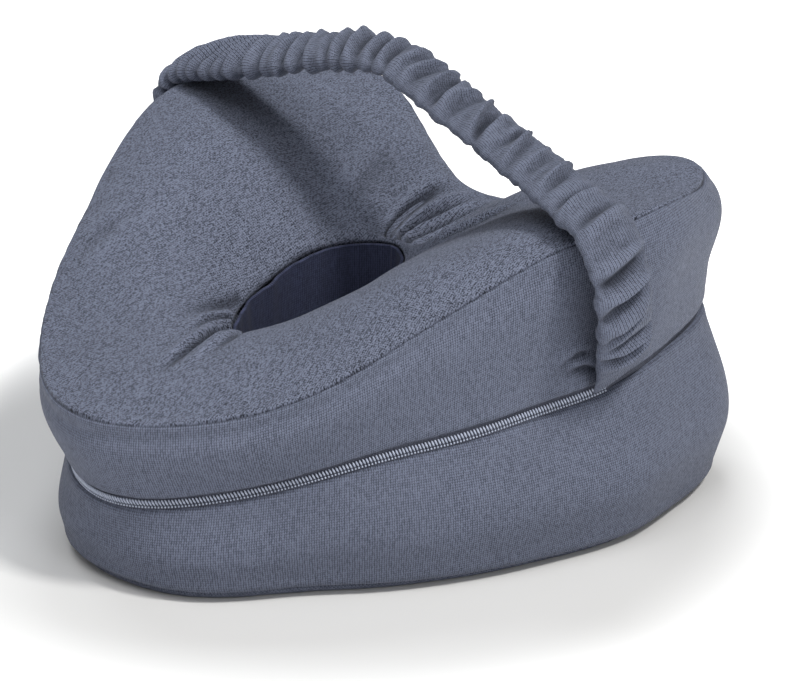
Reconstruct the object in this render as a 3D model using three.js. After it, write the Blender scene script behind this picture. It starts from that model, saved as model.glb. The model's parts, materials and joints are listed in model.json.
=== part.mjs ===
// Knee pillow: a heart-shaped filled cushion with a leg valley, two raised wings and an oval vent hole,
// in a knit cover of sewn panels with a zip round its waist, and a ruched elastic leg strap over the valley.
// Millimetres, +Z up. The nose points along -Y, the heart's notch along +Y, and the floor is z = 0.
// The origin is below the middle of the whole object.

import * as THREE from 'three';

// Main sizes of the outline
const outlineCentreY = 11.7;
const holeCentreY = -2.7;
const rimHalfWidth = 20;
const rimHalfLength = 41;
const holeBottomHalfWidth = 18;
const holeBottomHalfLength = 38;

// Heights of the vent hole's rim: the mean, the rise from the nose to the notch, and the rise to the sides
const rimMeanUp = 81.6;
const rimRiseToNotch = 6;
const rimRiseToSides = 1.9;

// The cushion's outline at 13 stations, every 15 degrees from the nose round to the notch. The other half
// mirrors it. Columns: how far the base edge, the zip and the top seam lie from the outline's centre, how high
// the zip and the top seam run, and how high the top panel is near the hole (lip) and near the seam (brow).
const outline = [
  { base: 124.2, zip: 124.7, zipUp: 34.8, seam: 134.0, seamUp: 68.0, lipUp: 81.0, browUp: 77.5 },
  { base: 120.2, zip: 116.7, zipUp: 37.6, seam: 127.0, seamUp: 70.0, lipUp: 83.0, browUp: 79.5 },
  { base: 107.4, zip: 104.3, zipUp: 42.6, seam: 115.3, seamUp: 75.7, lipUp: 86.5, browUp: 85.0 },
  { base: 102.2, zip: 99.9, zipUp: 49.8, seam: 106.4, seamUp: 87.2, lipUp: 90.5, browUp: 94.5 },
  { base: 101.6, zip: 97.0, zipUp: 53.5, seam: 100.5, seamUp: 100.0, lipUp: 95.0, browUp: 104.5 },
  { base: 104.4, zip: 99.3, zipUp: 57.1, seam: 101.6, seamUp: 111.7, lipUp: 100.0, browUp: 112.6 },
  { base: 110.9, zip: 103.7, zipUp: 59.6, seam: 109.0, seamUp: 121.0, lipUp: 105.5, browUp: 118.7 },
  { base: 120.9, zip: 114.6, zipUp: 63.7, seam: 120.8, seamUp: 126.0, lipUp: 109.0, browUp: 121.9 },
  { base: 129.9, zip: 123.1, zipUp: 67.0, seam: 127.6, seamUp: 123.6, lipUp: 106.5, browUp: 119.9 },
  { base: 139.5, zip: 133.0, zipUp: 70.2, seam: 131.0, seamUp: 121.6, lipUp: 103.2, browUp: 118.5 },
  { base: 122.6, zip: 119.3, zipUp: 72.5, seam: 112.1, seamUp: 115.3, lipUp: 99.2, browUp: 110.1 },
  { base: 104.0, zip: 100.8, zipUp: 73.3, seam: 89.0, seamUp: 96.4, lipUp: 88.5, browUp: 96.9 },
  { base: 99.0, zip: 95.7, zipUp: 72.8, seam: 84.4, seamUp: 91.5, lipUp: 86.5, browUp: 90.5 },
];

// Where the lip and the brow lie between the hole's rim (0) and the top seam (1)
const lipShare = 0.28;
const browShare = 0.62;

// The side bands: the rounded shoulder under the top seam, the swell of the lower band, and the foot that
// rounds in under the cushion to the base seam and on to the floor
const shoulderDrop = 11.5;
const shoulderOverhang = { nose: 1.5, notch: 9.8 };
const swellOut = { nose: 2.3, notch: 5.4 };
const swellHeightShare = 0.46;
const sideFootUp = 9;
const baseSeamUp = { nose: 3.9, notch: -2.2 };
const baseSeamIn = { nose: 4.2, notch: 2.0 };
const baseRoll = 4;

// Cloth and zip
const panelThick = 1.5;
const clothGap = 0.3;
const fillGap = 0.5;
const zipSlotHalf = 3.2;
const tapeTop = -0.4;
const coilHalf = 1.7;
const coilTop = 1.2;
const coilStartDeg = -22;
const coilEndDeg = 98;

// Leg strap: half sizes of the ruched tube, how it flattens at its sewn ends, and its shallow gathers
const strapHalfWidth = 12.3;
const strapEndHalfWidth = 14;
const strapHalfThick = 4.2;
const strapEndHalfThick = 1.3;
const strapEndShare = 0.07;
const strapGathers = 27;
const strapGatherDepth = 0.13;

// How round the shoulder, the swell and the base edge are bent (0 sharp, 1 fully round)
const shoulderRound = 0.45;
const swellRound = 0.3;
const baseRound = 0.7;
const footRound = 0.85;

// How finely each solid is cut: places up the hole's wall and across the top, and steps and sides
const holeWallShares = [0.36, 0.7, 0.95];
const topShares = [0.05, 0.15, 0.3, 0.46, 0.64, 0.82, 0.95];
const bendShares = [0, 0.5, 1];
const turnSteps = 40;
const strapSteps = 81;
const strapSides = 12;

const knit = { color: 0x626a7c, roughness: 0.92, metalness: 0 };
const materials = {
  filled: new THREE.MeshStandardMaterial(knit),
  panel: new THREE.MeshStandardMaterial(knit),
  lining: new THREE.MeshStandardMaterial({ color: 0x4d5467, roughness: 0.95, metalness: 0 }),
  tape: new THREE.MeshStandardMaterial({ color: 0x6d7588, roughness: 0.85, metalness: 0 }),
  coil: new THREE.MeshStandardMaterial({ color: 0x9aa2b4, roughness: 0.45, metalness: 0 }),
  strap: new THREE.MeshStandardMaterial({ color: 0x5f677a, roughness: 0.9, metalness: 0 }),
};

// Outline curves: a cosine series runs smoothly through the stations and mirrors itself at nose and notch

function cosineSeries(values) {
  const spans = values.length - 1;
  return values.map((_, order) => {
    let sum = 0;
    values.forEach((value, station) => {
      const weight = station === 0 || station === spans ? 0.5 : 1;
      sum += weight * value * Math.cos((order * station * Math.PI) / spans);
    });
    const half = order === 0 || order === spans ? 0.5 : 1;
    return (2 / spans) * half * sum;
  });
}

const series = {};
for (const column of Object.keys(outline[0])) {
  series[column] = cosineSeries(outline.map((row) => row[column]));
}

function along(column, turn) {
  return series[column].reduce((sum, factor, order) => sum + factor * Math.cos(order * turn), 0);
}

// A size that eases from its value at the nose by an added amount at the notch
function eased(size, turn) {
  return size.nose + size.notch * Math.sin(turn / 2) ** 2;
}

function outlinePoint(reach, up, turn) {
  return new THREE.Vector3(reach * Math.sin(turn), outlineCentreY - reach * Math.cos(turn), up);
}

function holePoint(halfWidth, halfLength, up, turn) {
  return new THREE.Vector3(halfWidth * Math.sin(turn), holeCentreY - halfLength * Math.cos(turn), up);
}

// Named places on the section at one turn

function rim(turn) {
  const up = rimMeanUp - rimRiseToNotch * Math.cos(turn) - rimRiseToSides * Math.cos(2 * turn);
  return holePoint(rimHalfWidth, rimHalfLength, up, turn);
}

function holeBottom(turn) {
  return holePoint(holeBottomHalfWidth, holeBottomHalfLength, 0, turn);
}

function topSeam(turn) {
  return outlinePoint(along('seam', turn), along('seamUp', turn), turn);
}

function waist(turn) {
  return outlinePoint(along('zip', turn), along('zipUp', turn), turn);
}

function shoulder(turn) {
  const lean = Math.sin(turn / 2) ** 4;
  const reach = along('seam', turn) + shoulderOverhang.nose + shoulderOverhang.notch * lean;
  return outlinePoint(reach, along('seamUp', turn) - shoulderDrop, turn);
}

function swell(turn) {
  const reach = along('base', turn) + eased(swellOut, turn);
  return outlinePoint(reach, along('zipUp', turn) * swellHeightShare, turn);
}

function sideFoot(turn) {
  return outlinePoint(along('base', turn), sideFootUp, turn);
}

function baseSeam(turn) {
  return outlinePoint(along('base', turn) - eased(baseSeamIn, turn), eased(baseSeamUp, turn), turn);
}

function contact(turn) {
  return outlinePoint(along('base', turn) - eased(baseSeamIn, turn) - baseRoll, 0, turn);
}

// The top panel's height: the cubic through the rim, the lip, the brow and the seam
function topPoint(turn, share) {
  const inner = rim(turn);
  const outer = topSeam(turn);
  const shares = [0, lipShare, browShare, 1];
  const heights = [inner.z, along('lipUp', turn), along('browUp', turn), outer.z];
  const point = inner.clone().lerp(outer, share);
  point.z = heights.reduce((sum, height, i) => {
    const factor = shares.reduce((f, s, j) => (i === j ? f : (f * (share - s)) / (shares[i] - s)), 1);
    return sum + factor * height;
  }, 0);
  return point;
}

function mix(a, b, share) {
  return a.clone().lerp(b, share);
}

// A rounded bend at `corner` between its two neighbours, at the place `share` (0 to 1) along the bend
function bend(before, corner, after, roundness, share) {
  const from = mix(corner, before, roundness);
  const to = mix(corner, after, roundness);
  return mix(mix(from, corner, share), mix(corner, to, share), share);
}

// A point on the section at `distance` from `from` towards `to`
function stepTowards(from, to, distance) {
  return from.clone().add(to.clone().sub(from).setLength(distance));
}

// The closed section, named so that each panel can take its own stretch of it
function section(turn) {
  const places = [];
  const add = (name, point) => places.push({ name, point });
  const bottom = holeBottom(turn);
  const rimPoint = rim(turn);
  const seam = topSeam(turn);
  const side = shoulder(turn);
  const zipLine = waist(turn);
  const wide = swell(turn);
  const foot = sideFoot(turn);
  const low = baseSeam(turn);
  const footCorner = new THREE.Vector3(foot.x, foot.y, low.z);
  const floorEdge = contact(turn);
  add('holeBottom', bottom);
  for (const share of holeWallShares) {
    add('', mix(bottom, rimPoint, share));
  }
  add('rim', rimPoint);
  for (const share of topShares) {
    add('', topPoint(turn, share));
  }
  add('topSeam', seam);
  for (const share of bendShares) {
    add('', bend(seam, side, zipLine, shoulderRound, share));
  }
  add('bandFoot', stepTowards(zipLine, side, zipSlotHalf));
  add('waist', zipLine);
  add('bandHead', stepTowards(zipLine, wide, zipSlotHalf));
  for (const share of bendShares) {
    add('', bend(zipLine, wide, foot, swellRound, share));
  }
  for (const share of bendShares) {
    add('', bend(foot, footCorner, low, footRound, share));
  }
  add('baseSeam', low);
  add('', bend(low, new THREE.Vector3(low.x, low.y, 0), floorEdge, baseRound, 0.5));
  add('', floorEdge);
  add('', mix(floorEdge, bottom, 0.5));
  return places;
}

const turns = Array.from({ length: turnSteps }, (_, i) => (2 * Math.PI * i) / turnSteps);
const sections = turns.map(section);
const placeNames = sections[0].map((place) => place.name);
const placeCount = placeNames.length;

function wrap(index, count) {
  return (index + count) % count;
}

// Outward directions on the outer surface
const outwards = sections.map((places, i) =>
  places.map((_, j) => {
    const ahead = sections[wrap(i + 1, turnSteps)][j].point;
    const behind = sections[wrap(i - 1, turnSteps)][j].point;
    const after = places[wrap(j + 1, placeCount)].point;
    const before = places[wrap(j - 1, placeCount)].point;
    const turnWay = ahead.clone().sub(behind);
    const sectionWay = after.clone().sub(before);
    return sectionWay.cross(turnWay).normalize();
  })
);

function lifted(i, j, height) {
  return sections[i][j].point.clone().addScaledVector(outwards[i][j], height);
}

// Places between two named ones, in order round the section
function stretch(fromName, toName) {
  const list = [placeNames.indexOf(fromName)];
  const last = placeNames.indexOf(toName);
  while (list[list.length - 1] !== last) {
    list.push(wrap(list[list.length - 1] + 1, placeCount));
  }
  return list;
}

// Solids

// A closed mesh from rings of points, each four-sided patch split along its shorter diagonal. `closed` joins
// the last ring to the first, and otherwise flat caps end it.
function solidFromRings(rings, closed) {
  const sides = rings[0].length;
  const positions = rings.flat().flatMap((p) => [p.x, p.y, p.z]);
  const triangles = [];
  const ringCount = closed ? rings.length : rings.length - 1;
  for (let i = 0; i < ringCount; i += 1) {
    const next = wrap(i + 1, rings.length);
    for (let j = 0; j < sides; j += 1) {
      const k = wrap(j + 1, sides);
      const [a, b, c, d] = [i * sides + j, next * sides + j, next * sides + k, i * sides + k];
      const split = rings[i][j].distanceTo(rings[next][k]) < rings[next][j].distanceTo(rings[i][k]);
      triangles.push(...(split ? [a, b, c, a, c, d] : [a, b, d, b, c, d]));
    }
  }
  if (!closed) {
    for (const ring of [0, rings.length - 1]) {
      const start = ring * sides;
      for (let j = 1; j < sides - 1; j += 1) {
        const cap = [start, start + j, start + j + 1];
        triangles.push(...(ring === 0 ? cap : cap.reverse()));
      }
    }
  }
  const geometry = new THREE.BufferGeometry();
  geometry.setAttribute('position', new THREE.Float32BufferAttribute(positions, 3));
  geometry.setIndex(signedVolume(positions, triangles) < 0 ? flipped(triangles) : triangles);
  geometry.computeVertexNormals();
  return geometry;
}

function signedVolume(positions, triangles) {
  const corner = (index) => new THREE.Vector3().fromArray(positions, index * 3);
  let volume = 0;
  for (let i = 0; i < triangles.length; i += 3) {
    const [a, b, c] = [corner(triangles[i]), corner(triangles[i + 1]), corner(triangles[i + 2])];
    volume += a.dot(b.cross(c)) / 6;
  }
  return volume;
}

function flipped(triangles) {
  const turned = [];
  for (let i = 0; i < triangles.length; i += 3) {
    turned.push(triangles[i], triangles[i + 2], triangles[i + 1]);
  }
  return turned;
}

// The filled cushion lies just inside its cover all over
function filledCushion() {
  const depth = -(panelThick + fillGap);
  return solidFromRings(turns.map((_, i) => placeNames.map((__, j) => lifted(i, j, depth))), true);
}

// A panel of even thickness over one stretch of the section, its two edges drawn back by half a gap
function panel(fromName, toName, top = 0, bottom = -panelThick) {
  const list = stretch(fromName, toName);
  const rings = turns.map((_, i) => {
    const layer = (height) => {
      const points = list.map((j) => lifted(i, j, height));
      const last = points.length - 1;
      const first = stepTowards(points[0], points[1], clothGap / 2);
      const end = stepTowards(points[last], points[last - 1], clothGap / 2);
      return [first, ...points.slice(1, last), end];
    };
    return [...layer(top), ...layer(bottom).reverse()];
  });
  return solidFromRings(rings, true);
}

// The closed coil lies along the tape's middle, over part of the way round
function coilRow() {
  const middle = placeNames.indexOf('waist');
  const foot = tapeTop + clothGap;
  const first = Math.round((coilStartDeg / 360) * turnSteps);
  const last = Math.round((coilEndDeg / 360) * turnSteps);
  const rings = [];
  for (let step = first; step <= last; step += 1) {
    const i = wrap(step, turnSteps);
    const beside = (neighbour, height) =>
      mix(lifted(i, middle, height), lifted(i, neighbour, height), coilHalf / zipSlotHalf);
    const top = [beside(middle + 1, coilTop), beside(middle - 1, coilTop)];
    rings.push([beside(middle - 1, foot), lifted(i, middle, foot), beside(middle + 1, foot), ...top]);
  }
  return solidFromRings(rings, false);
}

// Leg strap: the middle of the ruched tube from the left zip seam over the valley to the right one.
// `lie` is how far the strap's width leans out of level there, in degrees.
const strapRoute = [
  { x: -112.7, y: 41.8, z: 66.5, lie: 0 },
  { x: -118.2, y: 42.8, z: 80.0, lie: 0 },
  { x: -123.2, y: 44.8, z: 96.0, lie: 0 },
  { x: -125.9, y: 47.3, z: 112.0, lie: 0 },
  { x: -124.3, y: 49.3, z: 126.0, lie: 0 },
  { x: -113.5, y: 50.3, z: 134.0, lie: 0 },
  { x: -94.0, y: 49.3, z: 138.5, lie: 0 },
  { x: -74.0, y: 46.3, z: 146.5, lie: 2 },
  { x: -55.0, y: 43.8, z: 153.0, lie: 4 },
  { x: -36.0, y: 41.8, z: 158.0, lie: 6 },
  { x: -15.0, y: 39.3, z: 160.5, lie: 8 },
  { x: 4.0, y: 37.3, z: 159.5, lie: 10 },
  { x: 21.0, y: 35.3, z: 155.0, lie: 12 },
  { x: 37.0, y: 32.8, z: 149.5, lie: 12 },
  { x: 53.0, y: 29.8, z: 143.5, lie: 12 },
  { x: 69.0, y: 26.3, z: 138.5, lie: 10 },
  { x: 85.0, y: 22.3, z: 134.7, lie: 8 },
  { x: 101.0, y: 18.3, z: 132.0, lie: 4 },
  { x: 114.6, y: 15.8, z: 127.9, lie: 0 },
  { x: 123.2, y: 16.3, z: 118.0, lie: 0 },
  { x: 126.0, y: 18.8, z: 106.5, lie: 0 },
  { x: 124.2, y: 22.3, z: 95.0, lie: 0 },
  { x: 120.3, y: 26.3, z: 84.0, lie: 0 },
  { x: 116.2, y: 30.3, z: 74.5, lie: 0 },
  { x: 112.4, y: 33.3, z: 67.0, lie: 0 },
];

function legStrap() {
  const stops = strapRoute.map((p) => new THREE.Vector3(p.x, p.y, p.z));
  const path = new THREE.CatmullRomCurve3(stops, false, 'centripetal');
  const lies = strapRoute.map((p) => THREE.MathUtils.degToRad(p.lie));
  const rings = [];
  for (let step = 0; step <= strapSteps; step += 1) {
    const share = step / strapSteps;
    const middle = path.getPoint(share);
    const forward = path.getTangent(share);
    const place = share * (lies.length - 1);
    const below = Math.min(Math.floor(place), lies.length - 2);
    const lie = THREE.MathUtils.lerp(lies[below], lies[below + 1], place - below);
    const across = new THREE.Vector3(0, 1, 0).addScaledVector(forward, -forward.y).normalize();
    across.applyAxisAngle(forward, -lie);
    const out = across.clone().cross(forward).normalize();
    const toEnd = Math.min(share, 1 - share) / strapEndShare;
    const full = THREE.MathUtils.smoothstep(toEnd, 0, 1);
    const gather = 1 + strapGatherDepth * full * Math.sin(2 * Math.PI * strapGathers * share);
    const thick = THREE.MathUtils.lerp(strapEndHalfThick, strapHalfThick * gather, full);
    const wide = THREE.MathUtils.lerp(strapEndHalfWidth, strapHalfWidth, full);
    const ring = [];
    for (let side = 0; side < strapSides; side += 1) {
      const angle = (2 * Math.PI * side) / strapSides;
      const sideways = across.clone().multiplyScalar(wide * Math.cos(angle));
      ring.push(middle.clone().add(sideways).addScaledVector(out, thick * Math.sin(angle)));
    }
    rings.push(ring);
  }
  return solidFromRings(rings, false);
}

const kneePillow = new THREE.Group();

function addPiece(name, geometry, material) {
  const mesh = new THREE.Mesh(geometry, material);
  mesh.name = name;
  kneePillow.add(mesh);
}

addPiece('cushion_body', filledCushion(), materials.filled);
addPiece('vent_lining', panel('holeBottom', 'rim'), materials.lining);
addPiece('top_panel', panel('rim', 'topSeam'), materials.panel);
addPiece('upper_band', panel('topSeam', 'bandFoot'), materials.panel);
addPiece('zip_tape', panel('bandFoot', 'bandHead', tapeTop), materials.tape);
addPiece('zip_coil', coilRow(), materials.coil);
addPiece('lower_band', panel('bandHead', 'baseSeam'), materials.panel);
addPiece('base_panel', panel('baseSeam', 'holeBottom'), materials.panel);
addPiece('leg_strap', legStrap(), materials.strap);

export default kneePillow;
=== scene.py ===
"""Knee pillow: the looks of a heart-shaped filled cushion in a sewn knit cover, with its zip and leg strap.

Sizes are in millimetres until a mesh is made, which is in metres, in the frame that the model was packed in.
The turn goes round the cushion from its nose (0) over its right wing to the notch (half a turn).
"""

import json
import logging
import math
from dataclasses import dataclass
from enum import Enum

import bpy
import numpy as np
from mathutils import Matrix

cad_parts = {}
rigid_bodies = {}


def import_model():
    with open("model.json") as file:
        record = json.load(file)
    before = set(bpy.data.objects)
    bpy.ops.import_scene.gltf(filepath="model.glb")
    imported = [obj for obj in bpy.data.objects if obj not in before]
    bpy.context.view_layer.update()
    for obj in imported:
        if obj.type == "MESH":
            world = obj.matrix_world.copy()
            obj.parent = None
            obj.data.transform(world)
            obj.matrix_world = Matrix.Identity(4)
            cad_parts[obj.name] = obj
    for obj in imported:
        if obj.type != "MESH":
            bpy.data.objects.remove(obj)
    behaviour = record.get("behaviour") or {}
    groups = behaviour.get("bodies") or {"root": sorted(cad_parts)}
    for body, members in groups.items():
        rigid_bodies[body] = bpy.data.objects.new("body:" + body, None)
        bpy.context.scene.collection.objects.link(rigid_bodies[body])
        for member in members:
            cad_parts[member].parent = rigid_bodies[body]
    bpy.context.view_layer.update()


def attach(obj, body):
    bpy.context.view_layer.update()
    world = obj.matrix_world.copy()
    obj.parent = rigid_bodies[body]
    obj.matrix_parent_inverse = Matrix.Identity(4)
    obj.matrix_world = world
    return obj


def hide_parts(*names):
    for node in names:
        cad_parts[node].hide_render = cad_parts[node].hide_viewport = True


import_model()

Array = np.ndarray
Point = tuple[float, float, float]

MM = 0.001
LOG = logging.getLogger("knee_pillow")
ROOT = "root"

# How far from a seam the soft roll of turned-in cloth stands, and how wide it is
WELT_WIDTH = 2.6


# Plain helpers


def smooth(share: Array) -> Array:
    """Return shares eased from 0 to 1, and held there outside."""
    held = np.clip(share, 0.0, 1.0)
    return held * held * (3.0 - 2.0 * held)


def mix(first: Array, second: Array, share: float | Array) -> Array:
    """Return the blend of two values: the first at share 0, the second at share 1."""
    return first + (second - first) * share


def unit(vectors: Array) -> Array:
    """Return vectors, which lie along the last axis, scaled to length 1."""
    return vectors / np.maximum(np.linalg.norm(vectors, axis=-1, keepdims=True), 1e-9)


def run_lengths(points: Array) -> Array:
    """Measure how far along a line each of its points lies.

    Args:
        points: Points, with the line along the second last axis.

    Returns:
        The lengths from the line's first point.
    """
    steps = np.linalg.norm(np.diff(points, axis=-2), axis=-1)
    start = np.zeros(steps.shape[:-1] + (1,))
    return np.concatenate([start, np.cumsum(steps, axis=-1)], axis=-1)


def respaced(points: Array, shares: Array) -> Array:
    """Put new points along each of several lines.

    Args:
        points: Lines of points, (lines, points, 3).
        shares: Where the new points lie along each line, from 0 to 1.

    Returns:
        The new points, (lines, shares, 3).
    """
    runs = run_lengths(points)
    new = np.empty((len(points), len(shares), 3))
    for row, (line, run) in enumerate(zip(points, runs)):
        for axis in range(3):
            new[row, :, axis] = np.interp(shares * run[-1], run, line[:, axis])
    return new


def window(value: Array, edges: tuple[float, float, float, float], height: float = 1.0) -> Array:
    """Ease from 0 up to a height between the first two edges, and back to 0 between the last two.

    Args:
        value: The values.
        edges: The four edges, in rising order.
        height: The height between the second edge and the third.

    Returns:
        From 0 to the height for each value.
    """
    rise, full, fall, gone = edges
    risen = height * smooth((value - rise) / (full - rise))
    return risen * (1.0 - smooth((value - fall) / (gone - fall)))


def bell(distance: Array, width: float) -> Array:
    """Return 1 at no distance, falling to 0 on a soft bell of the given width."""
    return np.exp(-((distance / width) ** 2))


def lattice_faces(shape: tuple[int, int], loops: tuple[bool, bool]) -> tuple[Array, Array, Array]:
    """Join a lattice's points into four-sided faces.

    Args:
        shape: How many points the lattice has each way.
        loops: Whether it closes on itself each way.

    Returns:
        Each face's place both ways, and the faces.
    """
    turns, places = shape
    i, j = np.meshgrid(np.arange(turns - (not loops[0])), np.arange(places - (not loops[1])), indexing="ij")
    i, j = i.ravel(), j.ravel()
    row, ahead, below = i * places, (i + 1) % turns * places, (j + 1) % places
    return i, j, np.stack([row + j, row + below, ahead + below, ahead + j], axis=1)


def gentle_waves(points: Array, length: float, seed: int, count: int = 9) -> Array:
    """Give a soft uneven height, as cloth has where nothing pulls it straight.

    Args:
        points: Where to read it.
        length: The usual distance between two crests.
        seed: Which pattern it is.
        count: How many waves cross each other.

    Returns:
        A height for each point, mostly between -1 and 1.
    """
    chance = np.random.default_rng(seed)
    total = np.zeros(points.shape[:-1])
    for _ in range(count):
        way = unit(chance.normal(size=3))
        stretch = chance.uniform(0.6, 1.6)
        total += np.sin(points @ way * (2 * math.pi / (length * stretch)) + chance.uniform(0, 2 * math.pi))
    return total / math.sqrt(count)


# The cushion's form


@dataclass(frozen=True)
class Station:
    """The outline at one of the even turns between nose and notch: reaches from its centre, and heights."""

    base: float
    zip: float
    zip_up: float
    seam: float
    seam_up: float
    lip_up: float
    brow_up: float


STATIONS = (
    Station(124.2, 124.7, 34.8, 134.0, 68.0, 81.0, 77.5),
    Station(120.2, 116.7, 37.6, 127.0, 70.0, 83.0, 79.5),
    Station(107.4, 104.3, 42.6, 115.3, 75.7, 86.5, 85.0),
    Station(102.2, 99.9, 49.8, 106.4, 87.2, 90.5, 94.5),
    Station(101.6, 97.0, 53.5, 100.5, 100.0, 95.0, 104.5),
    Station(104.4, 99.3, 57.1, 101.6, 111.7, 100.0, 112.6),
    Station(110.9, 103.7, 59.6, 109.0, 121.0, 105.5, 118.7),
    Station(120.9, 114.6, 63.7, 120.8, 126.0, 109.0, 121.9),
    Station(129.9, 123.1, 67.0, 127.6, 123.6, 106.5, 119.9),
    Station(139.5, 133.0, 70.2, 131.0, 121.6, 103.2, 118.5),
    Station(122.6, 119.3, 72.5, 112.1, 115.3, 99.2, 110.1),
    Station(104.0, 100.8, 73.3, 89.0, 96.4, 88.5, 96.9),
    Station(99.0, 95.7, 72.8, 84.4, 91.5, 86.5, 90.5),
)


@dataclass(frozen=True)
class CushionForm:
    """The firm cushion: its outline, leg valley, wings and oval vent hole, as sections round its centre.

    Each window holds the turns in degrees where its size sets in, is full, starts to go and is gone. The
    tape's reaches are its points' distances up and down from the zip's line. The lining's tuck is how far
    below the rolled rim and above the floor it ends.
    """

    centre_y: float = 11.7
    hole_y: float = -2.7
    rim_half_width: float = 20.0
    rim_half_length: float = 41.0
    bottom_half_width: float = 18.0
    bottom_half_length: float = 38.0
    rim_up: float = 81.6
    rim_rise_to_notch: float = 6.0
    rim_rise_to_sides: float = 1.9
    near_dip: tuple[float, float, float, float] = (54.0, 14.0, 26.0, 3.6)
    far_rim_rise: float = 3.4
    far_rim_turn_deg: float = -150.0
    far_rim_ease: tuple[float, float] = (0.3, 0.6)
    rim_round: float = 2.2
    lip_share: float = 0.28
    brow_share: float = 0.62
    shoulder_drop: float = 11.5
    shoulder_overhang: tuple[float, float] = (1.5, 9.8)
    shoulder_round: float = 0.5
    swell_out: tuple[float, float] = (2.3, 5.4)
    swell_height_share: float = 0.46
    swell_round: float = 0.42
    side_foot_up: float = 9.0
    base_seam_up: tuple[float, float] = (3.9, -2.2)
    base_seam_in: tuple[float, float] = (4.2, 2.0)
    base_roll: float = 4.0
    base_round: float = 0.85
    foot_round: float = 0.9
    slot_half: float = 2.3
    slot_shut: float = 1.0
    slot_window_deg: tuple[float, float, float, float] = (-60.0, -40.0, 97.0, 102.0)
    crest_rise: float = 3.0
    crest_window_deg: tuple[float, float, float, float] = (-155.0, -145.0, -122.0, -108.0)
    tape_reaches: tuple[float, ...] = (5.2, 4.2, 3.2, 1.9)
    lining_tuck: tuple[float, float] = (0.3, 0.4)
    stations: tuple[Station, ...] = STATIONS

    def along(self, column: str, turn: Array) -> Array:
        """Read one of the stations' sizes at any turn, on a smooth curve through all of them.

        Args:
            column: The size's name.
            turn: The turns.

        Returns:
            The size at each turn.
        """
        values = np.array([getattr(station, column) for station in self.stations])
        spans = len(values) - 1
        orders = np.arange(spans + 1)
        ends = np.where((orders == 0) | (orders == spans), 0.5, 1.0)
        waves = np.cos(np.outer(orders, orders) * math.pi / spans)
        factors = 2.0 / spans * ends * (waves @ (values * ends))
        return np.cos(np.multiply.outer(turn, orders)) @ factors

    @staticmethod
    def eased(size: tuple[float, float], turn: Array) -> Array:
        """Return a size at the given turns, from its value at the nose and what the notch adds."""
        return size[0] + size[1] * np.sin(turn / 2) ** 2

    def outline_point(self, reach: Array, up: Array, turn: Array) -> Array:
        """Return points at the given turns, by their reach from the outline's centre and their height."""
        up = np.broadcast_to(up, turn.shape)
        return np.stack([reach * np.sin(turn), self.centre_y - reach * np.cos(turn), up], axis=-1)

    def hole_point(self, half_width: float, half_length: float, up: Array, turn: Array) -> Array:
        """Return points at the given turns and heights, on an oval round the hole's centre."""
        up = np.broadcast_to(up, turn.shape)
        return np.stack([half_width * np.sin(turn), self.hole_y - half_length * np.cos(turn), up], axis=-1)

    def rim(self, turn: Array) -> Array:
        """Work out the hole's upper edge, which stands higher at the far side.

        Args:
            turn: The turns.

        Returns:
            The edge's points.
        """
        up = self.rim_up - self.rim_rise_to_notch * np.cos(turn) - self.rim_rise_to_sides * np.cos(2 * turn)
        near = np.cos(turn - math.radians(self.far_rim_turn_deg))
        up += self.far_rim_rise * smooth((near - self.far_rim_ease[0]) / self.far_rim_ease[1])
        return self.hole_point(self.rim_half_width, self.rim_half_length, up, turn)

    def hole_bottom(self, turn: Array) -> Array:
        """Return the hole's lower edge at the given turns."""
        return self.hole_point(self.bottom_half_width, self.bottom_half_length, np.array(0.0), turn)

    def crest(self, turn: Array) -> Array:
        """Return how much further the left wing's crest stands up behind the strap, at the given turns."""
        return window(np.degrees(turn), self.crest_window_deg, self.crest_rise)

    def top_seam(self, turn: Array) -> Array:
        """Return the seam round the top panel at the given turns."""
        up = self.along("seam_up", turn) + self.crest(turn)
        return self.outline_point(self.along("seam", turn), up, turn)

    def slot(self, turn: Array) -> Array:
        """Return half the gap between the bands at the given turns: wide over the coil, narrow elsewhere."""
        return mix(self.slot_shut, self.slot_half, window(np.degrees(turn), self.slot_window_deg))

    def waist(self, turn: Array) -> Array:
        """Return the zip's middle line at the given turns."""
        return self.outline_point(self.along("zip", turn), self.along("zip_up", turn), turn)

    def shoulder(self, turn: Array) -> Array:
        """Work out the corner that the shoulder bends round.

        Args:
            turn: The turns.

        Returns:
            The corner's points.
        """
        over, lean = self.shoulder_overhang, np.sin(turn / 2) ** 4
        reach = self.along("seam", turn) + over[0] + over[1] * lean
        return self.outline_point(reach, self.along("seam_up", turn) - self.shoulder_drop, turn)

    def swell(self, turn: Array) -> Array:
        """Return the corner that the lower band's swell bends round at the given turns."""
        reach = self.along("base", turn) + self.eased(self.swell_out, turn)
        return self.outline_point(reach, self.along("zip_up", turn) * self.swell_height_share, turn)

    def side_foot(self, turn: Array) -> Array:
        """Return where the lower band starts to round in under the cushion at the given turns."""
        return self.outline_point(self.along("base", turn), np.array(self.side_foot_up), turn)

    def base_seam(self, turn: Array) -> Array:
        """Return the seam round the underside at the given turns."""
        reach = self.along("base", turn) - self.eased(self.base_seam_in, turn)
        return self.outline_point(reach, self.eased(self.base_seam_up, turn), turn)

    def contact(self, turn: Array) -> Array:
        """Return the edge of what touches the floor at the given turns."""
        reach = self.along("base", turn) - self.eased(self.base_seam_in, turn) - self.base_roll
        return self.outline_point(reach, np.array(0.0), turn)

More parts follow.
